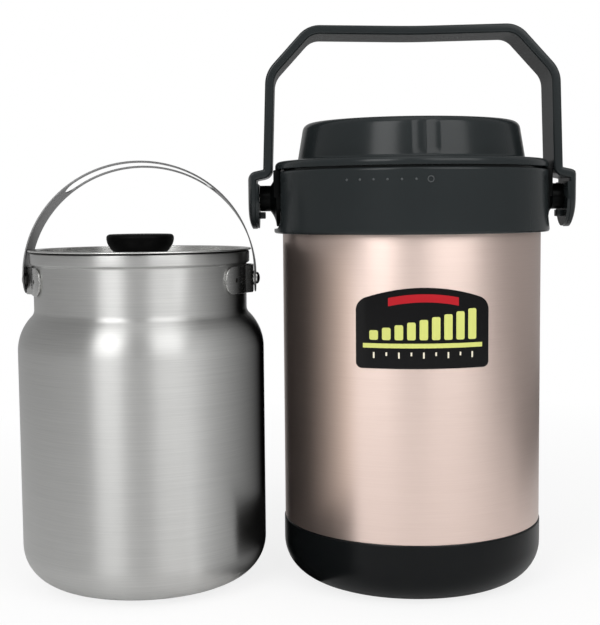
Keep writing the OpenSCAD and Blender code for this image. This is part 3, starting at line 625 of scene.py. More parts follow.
film_top = LABEL_T - INK_T
add_panel(shape, strips, 0, film_top, 0)
arc_high = arch_r - ARC_IN
arc_low = arc_high - ARC_W
red_arc = [(x, arch_z + sqrt(arc_low**2 - x*x), arch_z + sqrt(arc_high**2 - x*x))
           for x in stepped(-ARC_HALF, ARC_HALF, 40)]
add_panel(shape, red_arc, film_top, LABEL_T, 1)
for i in range(BAR_COUNT):
    x = (i - (BAR_COUNT - 1)/2)*BAR_PITCH
    bar = bar_strips(x, BAR_LOW, BAR_W, BAR_FIRST + BAR_GROWTH*i, BAR_ROUND)
    add_panel(shape, bar, film_top, LABEL_T, 2)
    tick_h = TICK_LONG if i % 2 == 0 else TICK_SHORT
    add_panel(shape, bar_strips(x, TICK_TOP - tick_h, TICK_W, tick_h, 0), film_top, LABEL_T, 3)
stripe = [(x, STRIPE_Z - STRIPE_W/2, STRIPE_Z + STRIPE_W/2) for x in stepped(-STRIPE_HALF, STRIPE_HALF, 40)]
add_panel(shape, stripe, film_top, LABEL_T, 2)
label_mesh = finish_mesh("label_print", shape, sharp_deg=25)
fit_piece(label_mesh, [film, red_ink, lime_ink, cream_ink], "cooker", "label_plate")


# The lid's cover, one charcoal ABS moulding: a wide flange with a lip inside the collar, and a dome.
# Two shallow flutes on the dome's front show which way it faces, over the collar's ring.
LID_Z = 254.4
FLANGE_R = 84.4
FLANGE_H = 4.9
FLANGE_ROUND = 3.0
FLANGE_TOP_Z = LID_Z + FLANGE_H
DOME_R = 70.4
DOME_H = 23.3
DOME_LEAN = 4.0
DOME_FILLET = 2.5
DOME_CORNER = 5.0
SIDE_FROM = 0.2
SIDE_TO = 0.7
DOME_TOP_Z = FLANGE_TOP_Z + DOME_H
DOME_CROWN = 0.8
CROWN_FLAT_R = 20.0
COVER_WALL = 2.2
FLUTE_W = 8.2
FLUTE_DEPTH = 0.6
FLUTE_LOW = 1.0
FLUTE_HIGH = 0.6
FLUTE_RISE = 2.5
FLUTE_FALL = 3.0
FLUTE_REACH = 3.0
SKIRT_R = 76.9
SKIRT_H = 2.3
SKIRT_GAP = 0.2
LIP_R = 79.0
LIP_H = 4.0
LIP_EDGE = 0.3
COVER_ROUND = 1.0


def index_flutes(point):
    """Draws the dome's front in along its two flutes."""
    r = hypot(point.x, point.y)
    rise = point.z - FLANGE_TOP_Z - FLUTE_LOW
    fall = DOME_TOP_Z - FLUTE_HIGH - point.z
    if min(rise, fall) <= 0 or r <= DOME_R - DOME_LEAN - FLUTE_REACH or point.y >= 0:
        return point
    turn = atan2(point.x, -point.y) - radians(FRONT_TURN)
    across = abs(r*sin(turn))/FLUTE_W
    if across >= 1:
        return point
    ends = min(rise/FLUTE_RISE, fall/FLUTE_FALL, 1.0)
    depth = FLUTE_DEPTH*(1 - (2*across - 1)**2)*ends
    return Vector((point.x*(1 - depth/r), point.y*(1 - depth/r), point.z))


skirt_in = SKIRT_R + SKIRT_GAP
skirt_z = LID_Z + SKIRT_H + SKIRT_GAP
side = [(DOME_R - DOME_LEAN*t, FLANGE_TOP_Z + DOME_H*t, 0) for t in stepped(SIDE_FROM, SIDE_TO, 12)]
outline = rounded([
    (skirt_in, LID_Z - LIP_H, 0),
    (LIP_R, LID_Z - LIP_H, LIP_EDGE),
    (LIP_R, LID_Z, 0),
    (FLANGE_R, LID_Z, SOFT_EDGE),
    (FLANGE_R, FLANGE_TOP_Z, FLANGE_ROUND),
    (DOME_R, FLANGE_TOP_Z, DOME_FILLET),
    *side,
    (DOME_R - DOME_LEAN, DOME_TOP_Z, DOME_CORNER),
    (CROWN_FLAT_R, DOME_TOP_Z + DOME_CROWN, 0),
    (0, DOME_TOP_Z + DOME_CROWN, 0),
    (0, DOME_TOP_Z - COVER_WALL, 0),
    (DOME_R - DOME_LEAN - COVER_WALL, DOME_TOP_Z - COVER_WALL, COVER_ROUND),
    (DOME_R - COVER_WALL, skirt_z, 0),
    (skirt_in, skirt_z, 0),
], steps=8)
shape = bmesh.new()
add_turned(shape, outline, steps=600, bend=index_flutes)
fit_piece(finish_mesh("lid_cover_moulding", shape), [charcoal], "lid", "lid_cover")


# Inside the lid: a block of rigid foam, and under it the inner lid with its plug and lugs.
# The inner lid is charcoal polypropylene and is welded to the cover round its skirt.
# Closed-cell foam: off-white and matt, with a coarse grain.
foam = moulded_plastic("rigid_foam_cut", "#e3dcc6", "#d6ceb6", roughness=0.85, grain_mm=1.2, relief=0.5)
inner_lid = moulded_plastic(
    "charcoal_polypropylene_satin", "#3a3e41", "#33373a", roughness=0.4, grain_mm=0.6)
dress(foam, "lid_insulation")
dress(inner_lid, "lid_liner")


# The carry handle: one charcoal ABS strap that runs up past the collar and over the lid.
# Each end is a round ear that turns on the hub's pin, with a pad and a small tab on its inside.
STRAP_W = 35.4
STRAP_T = 5.4
STRAP_EDGE = 1.4
THIN_END = 0.05
ROUND_SHARE = 0.98
ARM_X = 86.1
JOG_RISE = 13.2
JOG_LOW = PIVOT_Z + JOG_RISE
JOG_H = 2.0
JOG_HIGH = JOG_LOW + JOG_H
JOG_BEND = 3.3
ARM_BEND = 16.0
GRIP_BEND = 14.0
GRIP_TOP_Z = 341.0
GRIP_HALF = 62.5
GRIP_DIP = 1.2
DIP_BEND = 600.0
STRAP_STEP = 6.0
SLANT_H = 26.5
ARM_LEAN = 2.0
EAR_ROUND = 2.6
EAR_DROP = 1.2
EAR_Z = PIVOT_Z - EAR_DROP
PAD_INSET = 0.4
PAD_RISE = 10.0
TAB = (3.8, 8.0, 4.2)
TAB_GAP = 0.4
TAB_ROOT = 0.1


def add_strap(shape, stations, thickness, edge, turn=None, columns=1, bend=None):
    """Adds a strap through stations of ((x, z), half width); turn and bend move its points."""
    points = [Vector(p) for p, _ in stations]
    rings = []
    for i, (point, half_w) in enumerate(zip(points, (w for _, w in stations))):
        run = (points[min(i + 1, len(points) - 1)] - points[max(i - 1, 0)]).normalized()
        out = Vector((run.y, -run.x))
        w = max(half_w, THIN_END)
        t = thickness/2
        r = min(edge, w*ROUND_SHARE, t*ROUND_SHARE)
        corners = rounded([(-w, -t, r), (w, -t, r), (w, t, r), (-w, t, r)], steps=4)
        shares = [c/columns for c in range(1, columns)]
        section = corners[:5] + [corners[4].lerp(corners[5], share) for share in shares]
        section += corners[5:15] + [corners[14].lerp(corners[15], share) for share in shares]
        section += corners[15:]
        ring = []
        for y, lift in section:
            at = Vector((point.x + out.x*lift, y, point.y + out.y*lift))
            at = bend(at) if bend else at
            ring.append(shape.verts.new(turn @ at if turn else at))
        rings.append(ring)
    for here, there in zip(rings, rings[1:]):
        for k in range(len(here)):
            n = (k + 1) % len(here)
            shape.faces.new((here[k], here[n], there[n], there[k]))
    shape.faces.new(rings[0])
    shape.faces.new(rings[-1])


def ear_face(point):
    """Rounds the outside of each ear back towards its edge."""
    reach = min(hypot(point.y, min(point.z - EAR_Z, 0))/ear_r, 1)
    limit = EAR_X + STRAP_T - EAR_ROUND*reach**4
    return Vector((copysign(min(abs(point.x), limit), point.x), point.y, point.z))


def in_steps(points, longest):
    """Splits long straight runs of a line, so that no step is longer than given."""
    line = [points[0]]
    for a, b in zip(points, points[1:]):
        count = max(1, ceil((b - a).length/longest))
        line += [a.lerp(b, (k + 1)/count) for k in range(count)]
    return line


def arc(centre, radius, start_deg, end_deg, steps):
    """Points along an arc, angles from +r towards +z."""
    angles = [radians(a) for a in stepped(start_deg, end_deg, steps)]
    return [Vector((centre[0] + radius*cos(a), centre[1] + radius*sin(a))) for a in angles]


ear_mid = EAR_X + STRAP_T/2
arm_mid = ARM_X + STRAP_T/2
grip_mid = GRIP_TOP_Z - STRAP_T/2
ear_r = STRAP_W/2
half_path = [
    (ear_mid, EAR_Z, 0),
    (ear_mid, JOG_LOW, JOG_BEND),
    (arm_mid, JOG_HIGH, JOG_BEND),
    (arm_mid - ARM_LEAN, grip_mid - SLANT_H, ARM_BEND),
    (GRIP_HALF, grip_mid, GRIP_BEND),
]
path = half_path + [(0, grip_mid - GRIP_DIP, DIP_BEND)] + [(-x, z, r) for x, z, r in reversed(half_path)]
line = in_steps(rounded(path, closed=False, steps=10), STRAP_STEP)
ear_end = [((ear_mid, EAR_Z - ear_r*cos(a)), ear_r*sin(a)) for a in stepped(0, pi/2, 16)[:-1]]
stations = ear_end + [(p, ear_r) for p in line] + [((-p[0], p[1]), w) for p, w in reversed(ear_end)]
shape = bmesh.new()
add_strap(shape, stations, STRAP_T, STRAP_EDGE, columns=16, bend=ear_face)
pad_r = ear_r - PAD_INSET
pad_edge = arc((0, EAR_Z), pad_r, 180, 360, 48)
pad_edge += [Vector((y, EAR_Z + PAD_RISE)) for y in (pad_r, -pad_r)]
for side in (-1, 1):
    pad_face = [shape.verts.new((side*(EAR_X - EAR_PAD), p.x, p.y)) for p in pad_edge]
    pad_back = [shape.verts.new((side*(EAR_X + STRAP_T/4), p.x, p.y)) for p in pad_edge]
    front = shape.faces.new(pad_face if side < 0 else pad_face[::-1])
    shape.faces.new(pad_back[::-1] if side < 0 else pad_back)
    for i in range(len(pad_edge)):
        n = (i + 1) % len(pad_edge)
        wall = (pad_face[n], pad_face[i], pad_back[i], pad_back[n])
        shape.faces.new(wall if side < 0 else wall[::-1])
    pad_rim = list(front.edges)
    bmesh.ops.bevel(shape, geom=pad_rim, offset=SOFT_EDGE, segments=3, profile=0.5, affect="EDGES")
    tab_x = EAR_X - EAR_PAD - TAB[0]/2 + TAB_ROOT
    tab_z = PIVOT_Z - STUB_R - TAB_GAP - TAB[2]/2
    add_box(shape, TAB, (side*tab_x, 0, tab_z), SOFT_EDGE, segments=2)
handle_mesh = finish_mesh("carry_handle_strap", shape)
fit_piece(handle_mesh, [charcoal], "handle", "carry_handle")


# The cooking pot, spun from one stainless blank: a straight side, a rounded shoulder and a neck
# that ends in a rolled rim band, with a heat-spreading disc bonded under its floor.
POT_X = -168.308
POT_Y = -8.0
POT_R = 75.8
POT_WALL = 0.8
POT_CORNER = 24.0
POT_FLOOR_Z = 1.5
SHOULDER_Z = 145.0
SHOULDER_R = 30.0
NECK_R = 65.4
NECK_FILLET = 6.0
BAND_R = 67.4
BAND_Z = 197.2
BAND_SLOPE = 1.2
BAND_RUN = 2.0
BAND_ROUND = 0.8
POT_H = 205.0
RIM_ROUND = 0.7
pot_place = Matrix.Translation((POT_X*MM, POT_Y*MM, 0))

# Stainless brushed round the pot while it spun: upright streaks of light that stay sharp sideways.
pot_steel = brushed_steel("brushed_stainless_spun", roughness=0.4, anisotropy=0.92)
shoulder_dx = NECK_R + NECK_FILLET - POT_R + SHOULDER_R
shoulder_deg = degrees(acos(shoulder_dx/(SHOULDER_R + NECK_FILLET)))
neck_z = SHOULDER_Z + (SHOULDER_R + NECK_FILLET)*sin(radians(shoulder_deg))
foot_at = (POT_R - POT_CORNER, POT_FLOOR_Z + POT_CORNER)
shoulder_at = (POT_R - SHOULDER_R, SHOULDER_Z)
throat_at = (NECK_R + NECK_FILLET, neck_z)
rim = rounded([
    (NECK_R, BAND_Z - BAND_RUN, 0),
    (NECK_R, BAND_Z, BAND_ROUND),
    (BAND_R, BAND_Z + BAND_SLOPE, BAND_ROUND),
    (BAND_R, POT_H, RIM_ROUND),
    (NECK_R - POT_WALL, POT_H, SOFT_EDGE),
    (NECK_R - POT_WALL, BAND_Z, 0),
], closed=False)
outside = [(0, POT_FLOOR_Z)] + arc(foot_at, POT_CORNER, -90, 0, 20)
outside += arc(shoulder_at, SHOULDER_R, 0, shoulder_deg, 16)
outside += arc(throat_at, NECK_FILLET, 180 + shoulder_deg, 180, 10)
inside = arc(throat_at, NECK_FILLET + POT_WALL, 180, 180 + shoulder_deg, 10)
inside += arc(shoulder_at, SHOULDER_R - POT_WALL, shoulder_deg, 0, 16)
inside += arc(foot_at, POT_CORNER - POT_WALL, 0, -90, 20) + [(0, POT_FLOOR_Z + POT_WALL)]
shape = bmesh.new()
add_turned(shape, outside + rim + inside, steps=256)
pot_mesh = finish_mesh("pot_spinning", shape)
pot_mesh.transform(pot_place)
fit_piece(pot_mesh, [pot_steel], "pot", "pot_shell")
dress(pot_steel, "pot_heat_disc")


# The bail's brackets: stainless strips spot-welded round the neck, each with a raised bridge.
# A rivet with a rounded head and a washer hold the bail's eye on each bridge.
BAIL_Z = 188.0
BRACKET_W = 17.0
BRACKET_T = 1.2
BRACKET_ANGLE = 68.0
BRIDGE_X = 69.8
BRIDGE_HALF = 7.0
BRIDGE_FOOT = 12.0
BRIDGE_BEND = 2.0
BRACKET_GAP = 0.05
BRACKET_EDGE = 0.35
WELD_D = 2.8
WELD_RISE = 0.12
WELD_ROOT = 0.4
WELD_PIT = 0.02
WELD_EDGE = 0.15
WELD_ROUND = 0.1
WELD_AT = (24.0, 15.0)
RIVET_HEAD_R = 3.75
RIVET_HEAD_H = 2.4
RIVET_EDGE = 0.5
RIVET_R = 2.2
RIVET_TAIL_R = 3.5
RIVET_TAIL_H = 1.4
RIVET_PLAY = 0.15
EYE_PLAY = 0.1
EYE_X = 70.6
BAIL_T = 0.8

# Pressed stainless strip: satin, with the rolling lines along it.
strip_steel = brushed_steel(
    "rolled_stainless_strip", roughness=0.26, anisotropy=0.3, line_mm=0.5, length_mm=12.0)
# Stainless burnt by the welding tip: a dark, dull spot.
weld_steel = brushed_steel(
    "heat_marked_stainless", roughness=0.45, line_mm=0.4, length_mm=0.6, contrast=0.1,
    light="#4a4846", dark="#2c2b2a")
dimple = rounded([
    (0, -WELD_ROOT, 0),
    (WELD_D/2, -WELD_ROOT, 0),
    (WELD_D/2, WELD_RISE, WELD_EDGE),
    (WELD_D/3, WELD_RISE, WELD_ROUND),
    (WELD_D/4, WELD_PIT, WELD_ROUND),
    (0, WELD_PIT, 0),
], steps=3)
weld_r = NECK_R + BRACKET_GAP + BRACKET_T
mid_r = NECK_R + BRACKET_GAP + BRACKET_T/2
flat_x = BRIDGE_X - BRACKET_T/2
wing_deg = BRACKET_ANGLE/2
foot_deg = degrees(asin(BRIDGE_FOOT/mid_r))
end_r = BRACKET_W/2
end_deg = degrees(end_r/mid_r)
for side, name in ((-1, "left"), (1, "right")):
    low = [Vector((mid_r*cos(radians(a)), mid_r*sin(radians(a))))
           for a in stepped(-wing_deg, -foot_deg, 24)]
    run, foot = low[-2:]
    middle = rounded([
        (run.x, run.y, 0),
        (foot.x, foot.y, BRIDGE_BEND),
        (flat_x, -BRIDGE_HALF, BRIDGE_BEND),
        (flat_x, BRIDGE_HALF, BRIDGE_BEND),
        (foot.x, -foot.y, BRIDGE_BEND),
        (run.x, -run.y, 0),
    ], closed=False)
    line = low[:-2] + middle + [Vector((p.x, -p.y)) for p in reversed(low[:-2])]
    widths = []
    for p in line:
        past = max(degrees(abs(atan2(p.y, p.x))) - (wing_deg - end_deg), 0)/end_deg
        widths.append(end_r*sqrt(max(1 - past*past, 0)))
    shape = bmesh.new()
    flat_to_round = Matrix(((1, 0, 0), (0, 0, 1), (0, 1, 0)))
    stations = [((p.x, p.y), w) for p, w in zip(line, widths)]
    add_strap(shape, stations, BRACKET_T, BRACKET_EDGE, turn=flat_to_round)
    # Two spot welds in a row on each wing
    for way in (-1, 1):
        for weld_deg in WELD_AT:
            stand = turned(way*weld_deg, "Z") @ Matrix.Translation((weld_r, 0, 0)) @ turned(90, "Y")
            add_detail(shape, dimple, 24, stand, slot=1)
    bracket_place = Matrix.Translation((POT_X, POT_Y, BAIL_Z)) @ Matrix.Diagonal((side, 1, 1, 1))
    bmesh.ops.transform(shape, matrix=bracket_place, verts=shape.verts)
    bracket_mesh = finish_mesh(name + "_bracket_strip", shape)
    fit_piece(bracket_mesh, [strip_steel, weld_steel], "pot", name + "_bracket")

    tail_x = BRIDGE_X - BRACKET_T - RIVET_PLAY
    head_x = EYE_X + BAIL_T + EYE_PLAY
    shank = [
        (0, tail_x - RIVET_TAIL_H),
        (RIVET_TAIL_R, tail_x - RIVET_TAIL_H),
        (RIVET_TAIL_R, tail_x),
        (RIVET_R, tail_x),
        (RIVET_R, head_x),
        (RIVET_HEAD_R, head_x),
    ]
    dome = [(RIVET_HEAD_R*cos(a), head_x + RIVET_EDGE + (RIVET_HEAD_H - RIVET_EDGE)*sin(a))
            for a in stepped(0, pi/2, 10)[:-1]]
    shape = bmesh.new()
    add_turned(shape, shank + dome + [(0, head_x + RIVET_HEAD_H)], steps=64)
    rivet_place = bracket_place @ turned(90, "Y")
    bmesh.ops.transform(shape, matrix=rivet_place, verts=shape.verts)
    rivet_mesh = finish_mesh(name + "_rivet_head", shape)
    fit_piece(rivet_mesh, [pin_steel], "pot", name + "_rivet")
dress(strip_steel, "bail_washers")


# The pot's bail: one stainless strip bent to a slightly flat half round, with an eye at each end.
# A long slot is punched along its crown, and it stands leaning a little back.
BAIL_W = 21.0
BAIL_LEG = 3.2
ARCH_SHARE = 0.965
BAIL_LEAN = 8.0
EYE_RISE = 2.0
SLOT_DEG = 84.0
SLOT_W = 14.4
BAIL_EDGE = 0.15
# Tumbled stainless strip: greyer than the pot, with a soft, even sheen.
bail_steel = brushed_steel(
    "tumbled_stainless_strip", roughness=0.3, line_mm=1.2, length_mm=8.0, contrast=0.01,
    light="#6c6c6c", dark="#626262")
bail_mid_r = EYE_X + BAIL_T/2
arch_mid_h = EYE_X*ARCH_SHARE + BAIL_T/2
slot_end = EYE_X*sin(radians(SLOT_DEG/2)) - SLOT_W/2
columns = 6
shape = bmesh.new()
leg = [((bail_mid_r, EYE_RISE - BAIL_W/2*cos(a)), BAIL_W/2*sin(a), 0)
       for a in stepped(0, pi/2, 12)[:-1]]
leg += [((bail_mid_r, EYE_RISE), BAIL_W/2, 0), ((bail_mid_r, BAIL_LEG), BAIL_W/2, 0)]
arch = []
for k in range(1, 180):
    a = radians(k)
    past = max(abs(bail_mid_r*cos(a)) - slot_end, 0)/(SLOT_W/2)
    gap = SLOT_W/2*sqrt(max(1 - past*past, 0))
    arch.append(((bail_mid_r*cos(a), BAIL_LEG + arch_mid_h*sin(a)), BAIL_W/2, gap))
far_leg = [((-p[0], p[1]), w, g) for p, w, g in reversed(leg)]
stations = leg + arch + far_leg
for way in (-1, 1):
    rows = []
    for (x, z), half_w, gap in stations:
        spread = [gap + (half_w - gap)*c/columns for c in range(columns + 1)]
        rows.append([shape.verts.new((x, way*y, z)) for y in spread])
    for here, there in zip(rows, rows[1:]):
        for c in range(columns):
            shape.faces.new((here[c], here[c + 1], there[c + 1], there[c]))
bmesh.ops.remove_doubles(shape, verts=shape.verts, dist=SPECK)
bmesh.ops.recalc_face_normals(shape, faces=shape.faces)
stand = Matrix.Translation((POT_X, POT_Y, BAIL_Z)) @ turned(-BAIL_LEAN, "X")
bmesh.ops.transform(shape, matrix=stand, verts=shape.verts)
bail_mesh = finish_mesh("bail_strip", shape, sharp_deg=60)
bail = fit_piece(bail_mesh, [bail_steel], "bail", "pot_bail")
gauge = bail.modifiers.new("strip_thickness", "SOLIDIFY")
gauge.thickness = BAIL_T*MM
gauge.offset = 0
gauge.use_even_offset = True
edge = bail.modifiers.new("rounded_edges", "BEVEL")
edge.width = BAIL_EDGE*MM
edge.segments = 2
edge.limit_method = "ANGLE"
edge.angle_limit = radians(50)
edge.harden_normals = True


# The pot's lid: a dished stainless pressing that lies on the rim, its edge lifted clear of the band.
# A black knob is held on it by a screw and a washer from below.
LID_EDGE_R = 68.5
LID_EDGE_T = 1.0
EDGE_ROUND = 0.48
EDGE_LIFT = 0.7
REST_W = 1.0
SEAT_GAP = 0.03
PAN_T = 0.8
PAN_WALL_R = 63.4
PAN_ROUND = 3.0
PAN_DEPTH = 8.0
LID_HOLE_R = 2.6
UNDER_R = 63.9
KNOB_R = 20.8
KNOB_TOP_Z = 215.7
KNOB_ROUND = 2.2
BOWL_DEG = 60.0
FOOT_SHARE = 0.12
KNOB_SCREW_R = 2.52
SCREW_DEPTH = 9.0

# Stainless spun and brushed in rings: light fans out from the middle of the lid.
lid_steel = brushed_steel(
    "brushed_stainless_lid", roughness=0.27, anisotropy=0.6, line_mm=0.6, length_mm=60.0, contrast=0.02,
    light="#d6d6d4", dark="#c2c2c0")
# Stainless painted nearly black under the edge: painted shade for the dark gap beneath the lifted edge.
under_edge_painted_shade_steel = brushed_steel(
    "stainless_painted_shade_under_edge", roughness=0.5, line_mm=0.4, length_mm=0.6, contrast=0.1,
    light="#2a2928", dark="#1a1918")
lid_top_z = POT_H + EDGE_LIFT + LID_EDGE_T
pan_z = lid_top_z - PAN_DEPTH
seat_z = POT_H + SEAT_GAP
rest_r = NECK_R + REST_W
outline = rounded([
    (LID_HOLE_R, pan_z, 0),
    (LID_HOLE_R, pan_z + PAN_T, 0),
    (PAN_WALL_R - PAN_T, pan_z + PAN_T, PAN_ROUND),
    (PAN_WALL_R - PAN_T, lid_top_z, SOFT_EDGE),
    (LID_EDGE_R, lid_top_z, EDGE_ROUND),
    (LID_EDGE_R, POT_H + EDGE_LIFT, EDGE_ROUND),
    (rest_r + EDGE_LIFT, POT_H + EDGE_LIFT, 0),
    (rest_r, seat_z, 0),
    (PAN_WALL_R, seat_z, 0),
    (PAN_WALL_R, pan_z, PAN_ROUND + PAN_T),
], steps=8)
shape = bmesh.new()
add_turned(shape, outline, steps=256)
lid_mesh = finish_mesh("pot_lid_pressing", shape)
# The downward faces under the lifted edge take the second slot, the painted shade.
for face in lid_mesh.polygons:
    if hypot(face.center.x, face.center.y) > UNDER_R*MM and face.normal.z < -0.5:
        face.material_index = 1
lid_mesh.transform(pot_place)
fit_piece(lid_mesh, [lid_steel, under_edge_painted_shade_steel], "pot_lid", "pot_lid_pan")

# Black phenolic from a fine-textured mould: nearly matt, with a soft edge of light.
knob_black = moulded_plastic(
    "black_phenolic_matt", "#050505", "#030303", roughness=0.5, relief=0.12, shine=0.06)
foot_z = pan_z + PAN_T
screw_z = foot_z + SCREW_DEPTH
bowl_z = KNOB_TOP_Z - KNOB_ROUND
bowl_depth = (bowl_z - foot_z)*(1 - FOOT_SHARE)/sin(radians(BOWL_DEG))
bowl = [(KNOB_R*cos(a), bowl_z - bowl_depth*sin(a))
        for a in (radians(d) for d in stepped(BOWL_DEG, 0, 24))]
foot = [(KNOB_SCREW_R, foot_z), (bowl[0][0], foot_z)]
top = arc((KNOB_R - KNOB_ROUND, bowl_z), KNOB_ROUND, 0, 90, 8)
bore = [(0, KNOB_TOP_Z), (0, screw_z), (KNOB_SCREW_R, screw_z)]
shape = bmesh.new()
add_turned(shape, foot + bowl + top[1:] + bore, steps=128)
knob_mesh = finish_mesh("pot_lid_knob_moulding", shape)
knob_mesh.transform(pot_place)
fit_piece(knob_mesh, [knob_black], "pot_lid", "pot_lid_knob")
dress(pin_steel, "knob_screw", "knob_washer")


# The studio: a white floor that keeps a faint shadow, a white surround, a softbox on either side of the
# camera and one overhead. Dark and lit cards, which only reflections see, draw the edges of the metal.
FLOOR_SIZE = 8.0
FLOOR_DROP = 0.0002
PAPER_GRAIN = 2.5


def flat_card(name, low, high, material):
    """A flat card between two corners."""
    (x0, y0, z0), (x1, y1, z1) = low, high
    sides = ((x0, y1, z0), (x1, y0, z1)) if x0 == x1 else ((x1, y0, z0), (x0, y1, z1))
    mesh = bpy.data.meshes.new(name)
    mesh.from_pydata([low, sides[0], high, sides[1]], [], [(0, 1, 2, 3)])
    mesh.materials.append(material)
    return add_object(name, mesh)


# Matt white paper. The camera sees it nearly pure white, with a faint shadow near the object.
paper, tree, surface = new_material("white_studio_paper", Roughness=0.9)
two_tones(tree, surface, "#f4f4f4", "#fafafa", soft_specks(tree, PAPER_GRAIN, detail=2.0))
place = add_node(tree, "TexCoord")
ray = add_node(tree, "LightPath")
white = add_node(tree, "Emission", {"Strength": 1.0})
reach = add_node(tree, "VectorMath", {"operation": "LENGTH"}, {0: place.outputs["Object"]})
fade = add_node(tree, "MapRange", {"From Min": 0.15, "From Max": 0.7, "To Min": 0.82, "To Max": 1.0},
                {"Value": reach.outputs["Value"]})
share = add_node(tree, "Math", {"operation": "MULTIPLY"},
                 {0: ray.outputs["Is Camera Ray"], 1: fade.outputs["Result"]})
mix = add_node(tree, "MixShader", None,
               {0: share.outputs["Value"], 1: surface.outputs["BSDF"], 2: white.outputs["Emission"]})
tree.links.new(mix.outputs["Shader"], tree.nodes["Material Output"].inputs["Surface"])
half = FLOOR_SIZE/2
floor = flat_card("studio_floor", (-half, -half, 0), (half, half, 0), paper)
floor.location.z = -FLOOR_DROP

FILL = 0.45
ROOM = 0.42
world = bpy.data.worlds.new("white_surround")
bpy.context.scene.world = world
world.use_nodes = True
tree = world.node_tree
background = tree.nodes["Background"]
background.inputs["Color"].default_value = (1, 1, 1, 1)
ray = add_node(tree, "LightPath")
seen = add_node(tree, "Math", {"operation": "MAXIMUM"},
                {0: ray.outputs["Is Glossy Ray"], 1: ray.outputs["Is Transmission Ray"]})
reflected = add_node(tree, "Mix", {"data_type": "FLOAT", "A": FILL, "B": ROOM},
                     {"Factor": seen.outputs["Value"]})
strength = add_node(tree, "Mix", {"data_type": "FLOAT", "B": 1.0},
                    {"Factor": ray.outputs["Is Camera Ray"], "A": reflected.outputs[0]})
tree.links.new(strength.outputs[0], background.inputs["Strength"])
AIM_X = -0.08
AIM_Z = 0.17


def softbox(name, azimuth_deg, height, distance, width, tall, glow):
    """An area lamp aimed at the object; glow is how bright its face looks."""
    lamp = bpy.data.lights.new(name, "AREA")
    lamp.shape = "RECTANGLE"
    lamp.size = width
    lamp.size_y = tall
    lamp.energy = glow*pi*width*tall
    stand = add_object(name, lamp)
    angle = radians(azimuth_deg)
    stand.location = (AIM_X + distance*sin(angle), -distance*cos(angle), height)
    aim = Vector((AIM_X, 0, AIM_Z)) - stand.location
    stand.rotation_euler = aim.to_track_quat("-Z", "Y").to_euler()


softbox("left_softbox", azimuth_deg=-29, height=0.95, distance=1.25, width=0.62, tall=0.9, glow=4.9)
softbox("right_softbox", azimuth_deg=35, height=0.95, distance=1.2, width=1.0, tall=0.9, glow=3.2)
softbox("top_softbox", azimuth_deg=10, height=1.5, distance=0.35, width=0.9, tall=0.9, glow=0.9)


def flag(name, low, high, material):
    """A flat card that only reflections see."""
    card = flat_card(name, low, high, material)
    card.visible_camera = False
    card.visible_diffuse = False
    card.visible_shadow = False


CARD_LIFT = 0.0003
POT_CARD_X = -0.0865
POT_FOOT_X = -0.0868
VESSEL_CARD_X = -0.085
VESSEL_FOOT_Z = 0.045
VESSEL_TOP_Z = 0.21
RIGHT_CARD_X = 0.67
# Black flock on card, which sends back next to no light.
card_black = moulded_plastic("black_flock_card", "#141414", "#0e0e0e", roughness=0.95, grain_mm=1.0)
flag("right_floor_flag", (0.26, 0, CARD_LIFT), (RIGHT_CARD_X, 0.9, CARD_LIFT), card_black)
flag("middle_floor_flag", (-0.1, -0.09, CARD_LIFT), (-0.06, 0.05, CARD_LIFT), card_black)
flag("pot_foot_flag", (POT_FOOT_X, -0.051, 0.02), (POT_FOOT_X, 0.04, 0.054), card_black)
flag("vessel_foot_flag", (VESSEL_CARD_X, -0.1, 0), (VESSEL_CARD_X, 0, VESSEL_FOOT_Z), card_black)


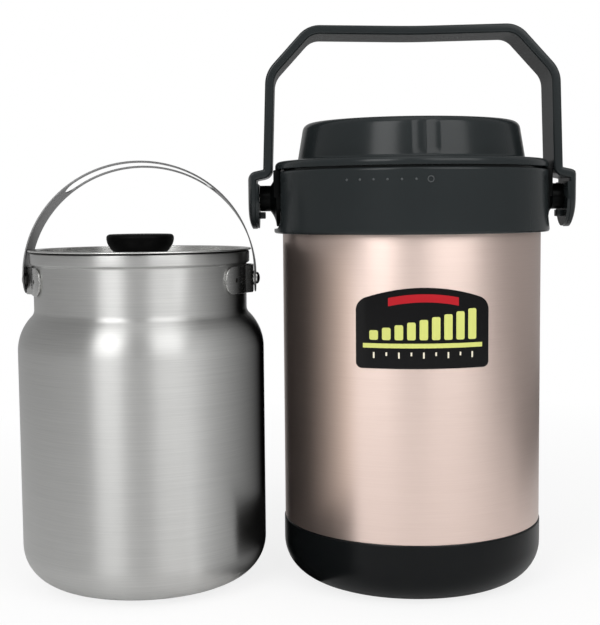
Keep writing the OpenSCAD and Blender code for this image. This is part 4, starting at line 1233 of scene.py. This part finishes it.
def lit_card(name, tint, glow, front=-1.0, back=2.0, curve=1.0):
    """Card that glows by itself, fading from its front edge to its back edge (y, in metres).

    A curve of 0 keeps the glow even.
    """
    material = bpy.data.materials.new(name)
    material.use_nodes = True
    tree = material.node_tree
    place = add_node(tree, "TexCoord")
    axes = add_node(tree, "SeparateXYZ", None, {"Vector": place.outputs["Object"]})
    reach = {"From Min": front, "From Max": back, "To Min": 1.0, "To Max": 0.0}
    fade = add_node(tree, "MapRange", reach, {"Value": axes.outputs["Y"]})
    bent = add_node(tree, "Math", {"operation": "POWER", 1: curve}, {0: fade.outputs["Result"]})
    graded = add_node(tree, "Math", {"operation": "MULTIPLY", 1: glow}, {0: bent.outputs["Value"]})
    lamp = add_node(tree, "Emission", {"Color": linear(tint)}, {"Strength": graded.outputs["Value"]})
    tree.links.new(lamp.outputs["Emission"], tree.nodes["Material Output"].inputs["Surface"])
    return material


# Translucent cards lit from behind: white for the pot's side, warm for the vessel's, and dim ones for the
# vessel's far edges, the back of the handle and the floor on the right.
pot_card = lit_card("white_fading_card", "#ffffff", 1.35, front=-0.125, back=-0.012)
flag("pot_flag", (POT_CARD_X, -0.125, 0), (POT_CARD_X, 0.04, 0.205), pot_card)
vessel_card = lit_card("warm_fading_card", "#fff8ef", 1.1, front=-0.1, back=-0.035, curve=1.6)
flag("vessel_flag", (VESSEL_CARD_X, -0.1, VESSEL_FOOT_Z), (VESSEL_CARD_X, 0, VESSEL_TOP_Z), vessel_card)
edge_card = lit_card("dim_edge_card", "#ffffff", 0.35, curve=0.0)
flag("vessel_edge_flag", (VESSEL_CARD_X, 0, 0), (VESSEL_CARD_X, 0.04, VESSEL_TOP_Z), edge_card)
flag("right_flag", (RIGHT_CARD_X, -0.25, 0), (RIGHT_CARD_X, 0.9, 0.9), edge_card)
handle_card = lit_card("dim_handle_card", "#ffffff", 0.19, curve=0.0)
flag("handle_flag", (-0.06, 0.45, 0.15), (0.2, 0.45, 0.6), handle_card)
floor_card = lit_card("dim_floor_card", "#ffffff", 0.5, curve=0.0)
flag("right_near_floor_flag", (0.3, -0.2, CARD_LIFT), (RIGHT_CARD_X, 0, CARD_LIFT), floor_card)


# The camera, at the photograph's place: a little above the pot's lid, and tilted slightly down.
# Its place, tilt, roll and lens were solved from the outlines of the two vessels.
CAMERA_AT = (-0.0697, -0.7515, 0.2299)
TILT_DEG = 4.91
ROLL_DEG = -0.51
LENS = 68.97
SENSOR_W = 36.0
camera_data = bpy.data.cameras.new("photo_camera")
camera_data.lens = LENS
camera_data.sensor_width = SENSOR_W
camera = add_object("photo_camera", camera_data)
camera.matrix_world = Matrix.Translation(CAMERA_AT) @ turned(90 - TILT_DEG, "X") @ turned(ROLL_DEG, "Z")
bpy.context.scene.camera = camera
bpy.context.scene.view_settings.view_transform = "Standard"
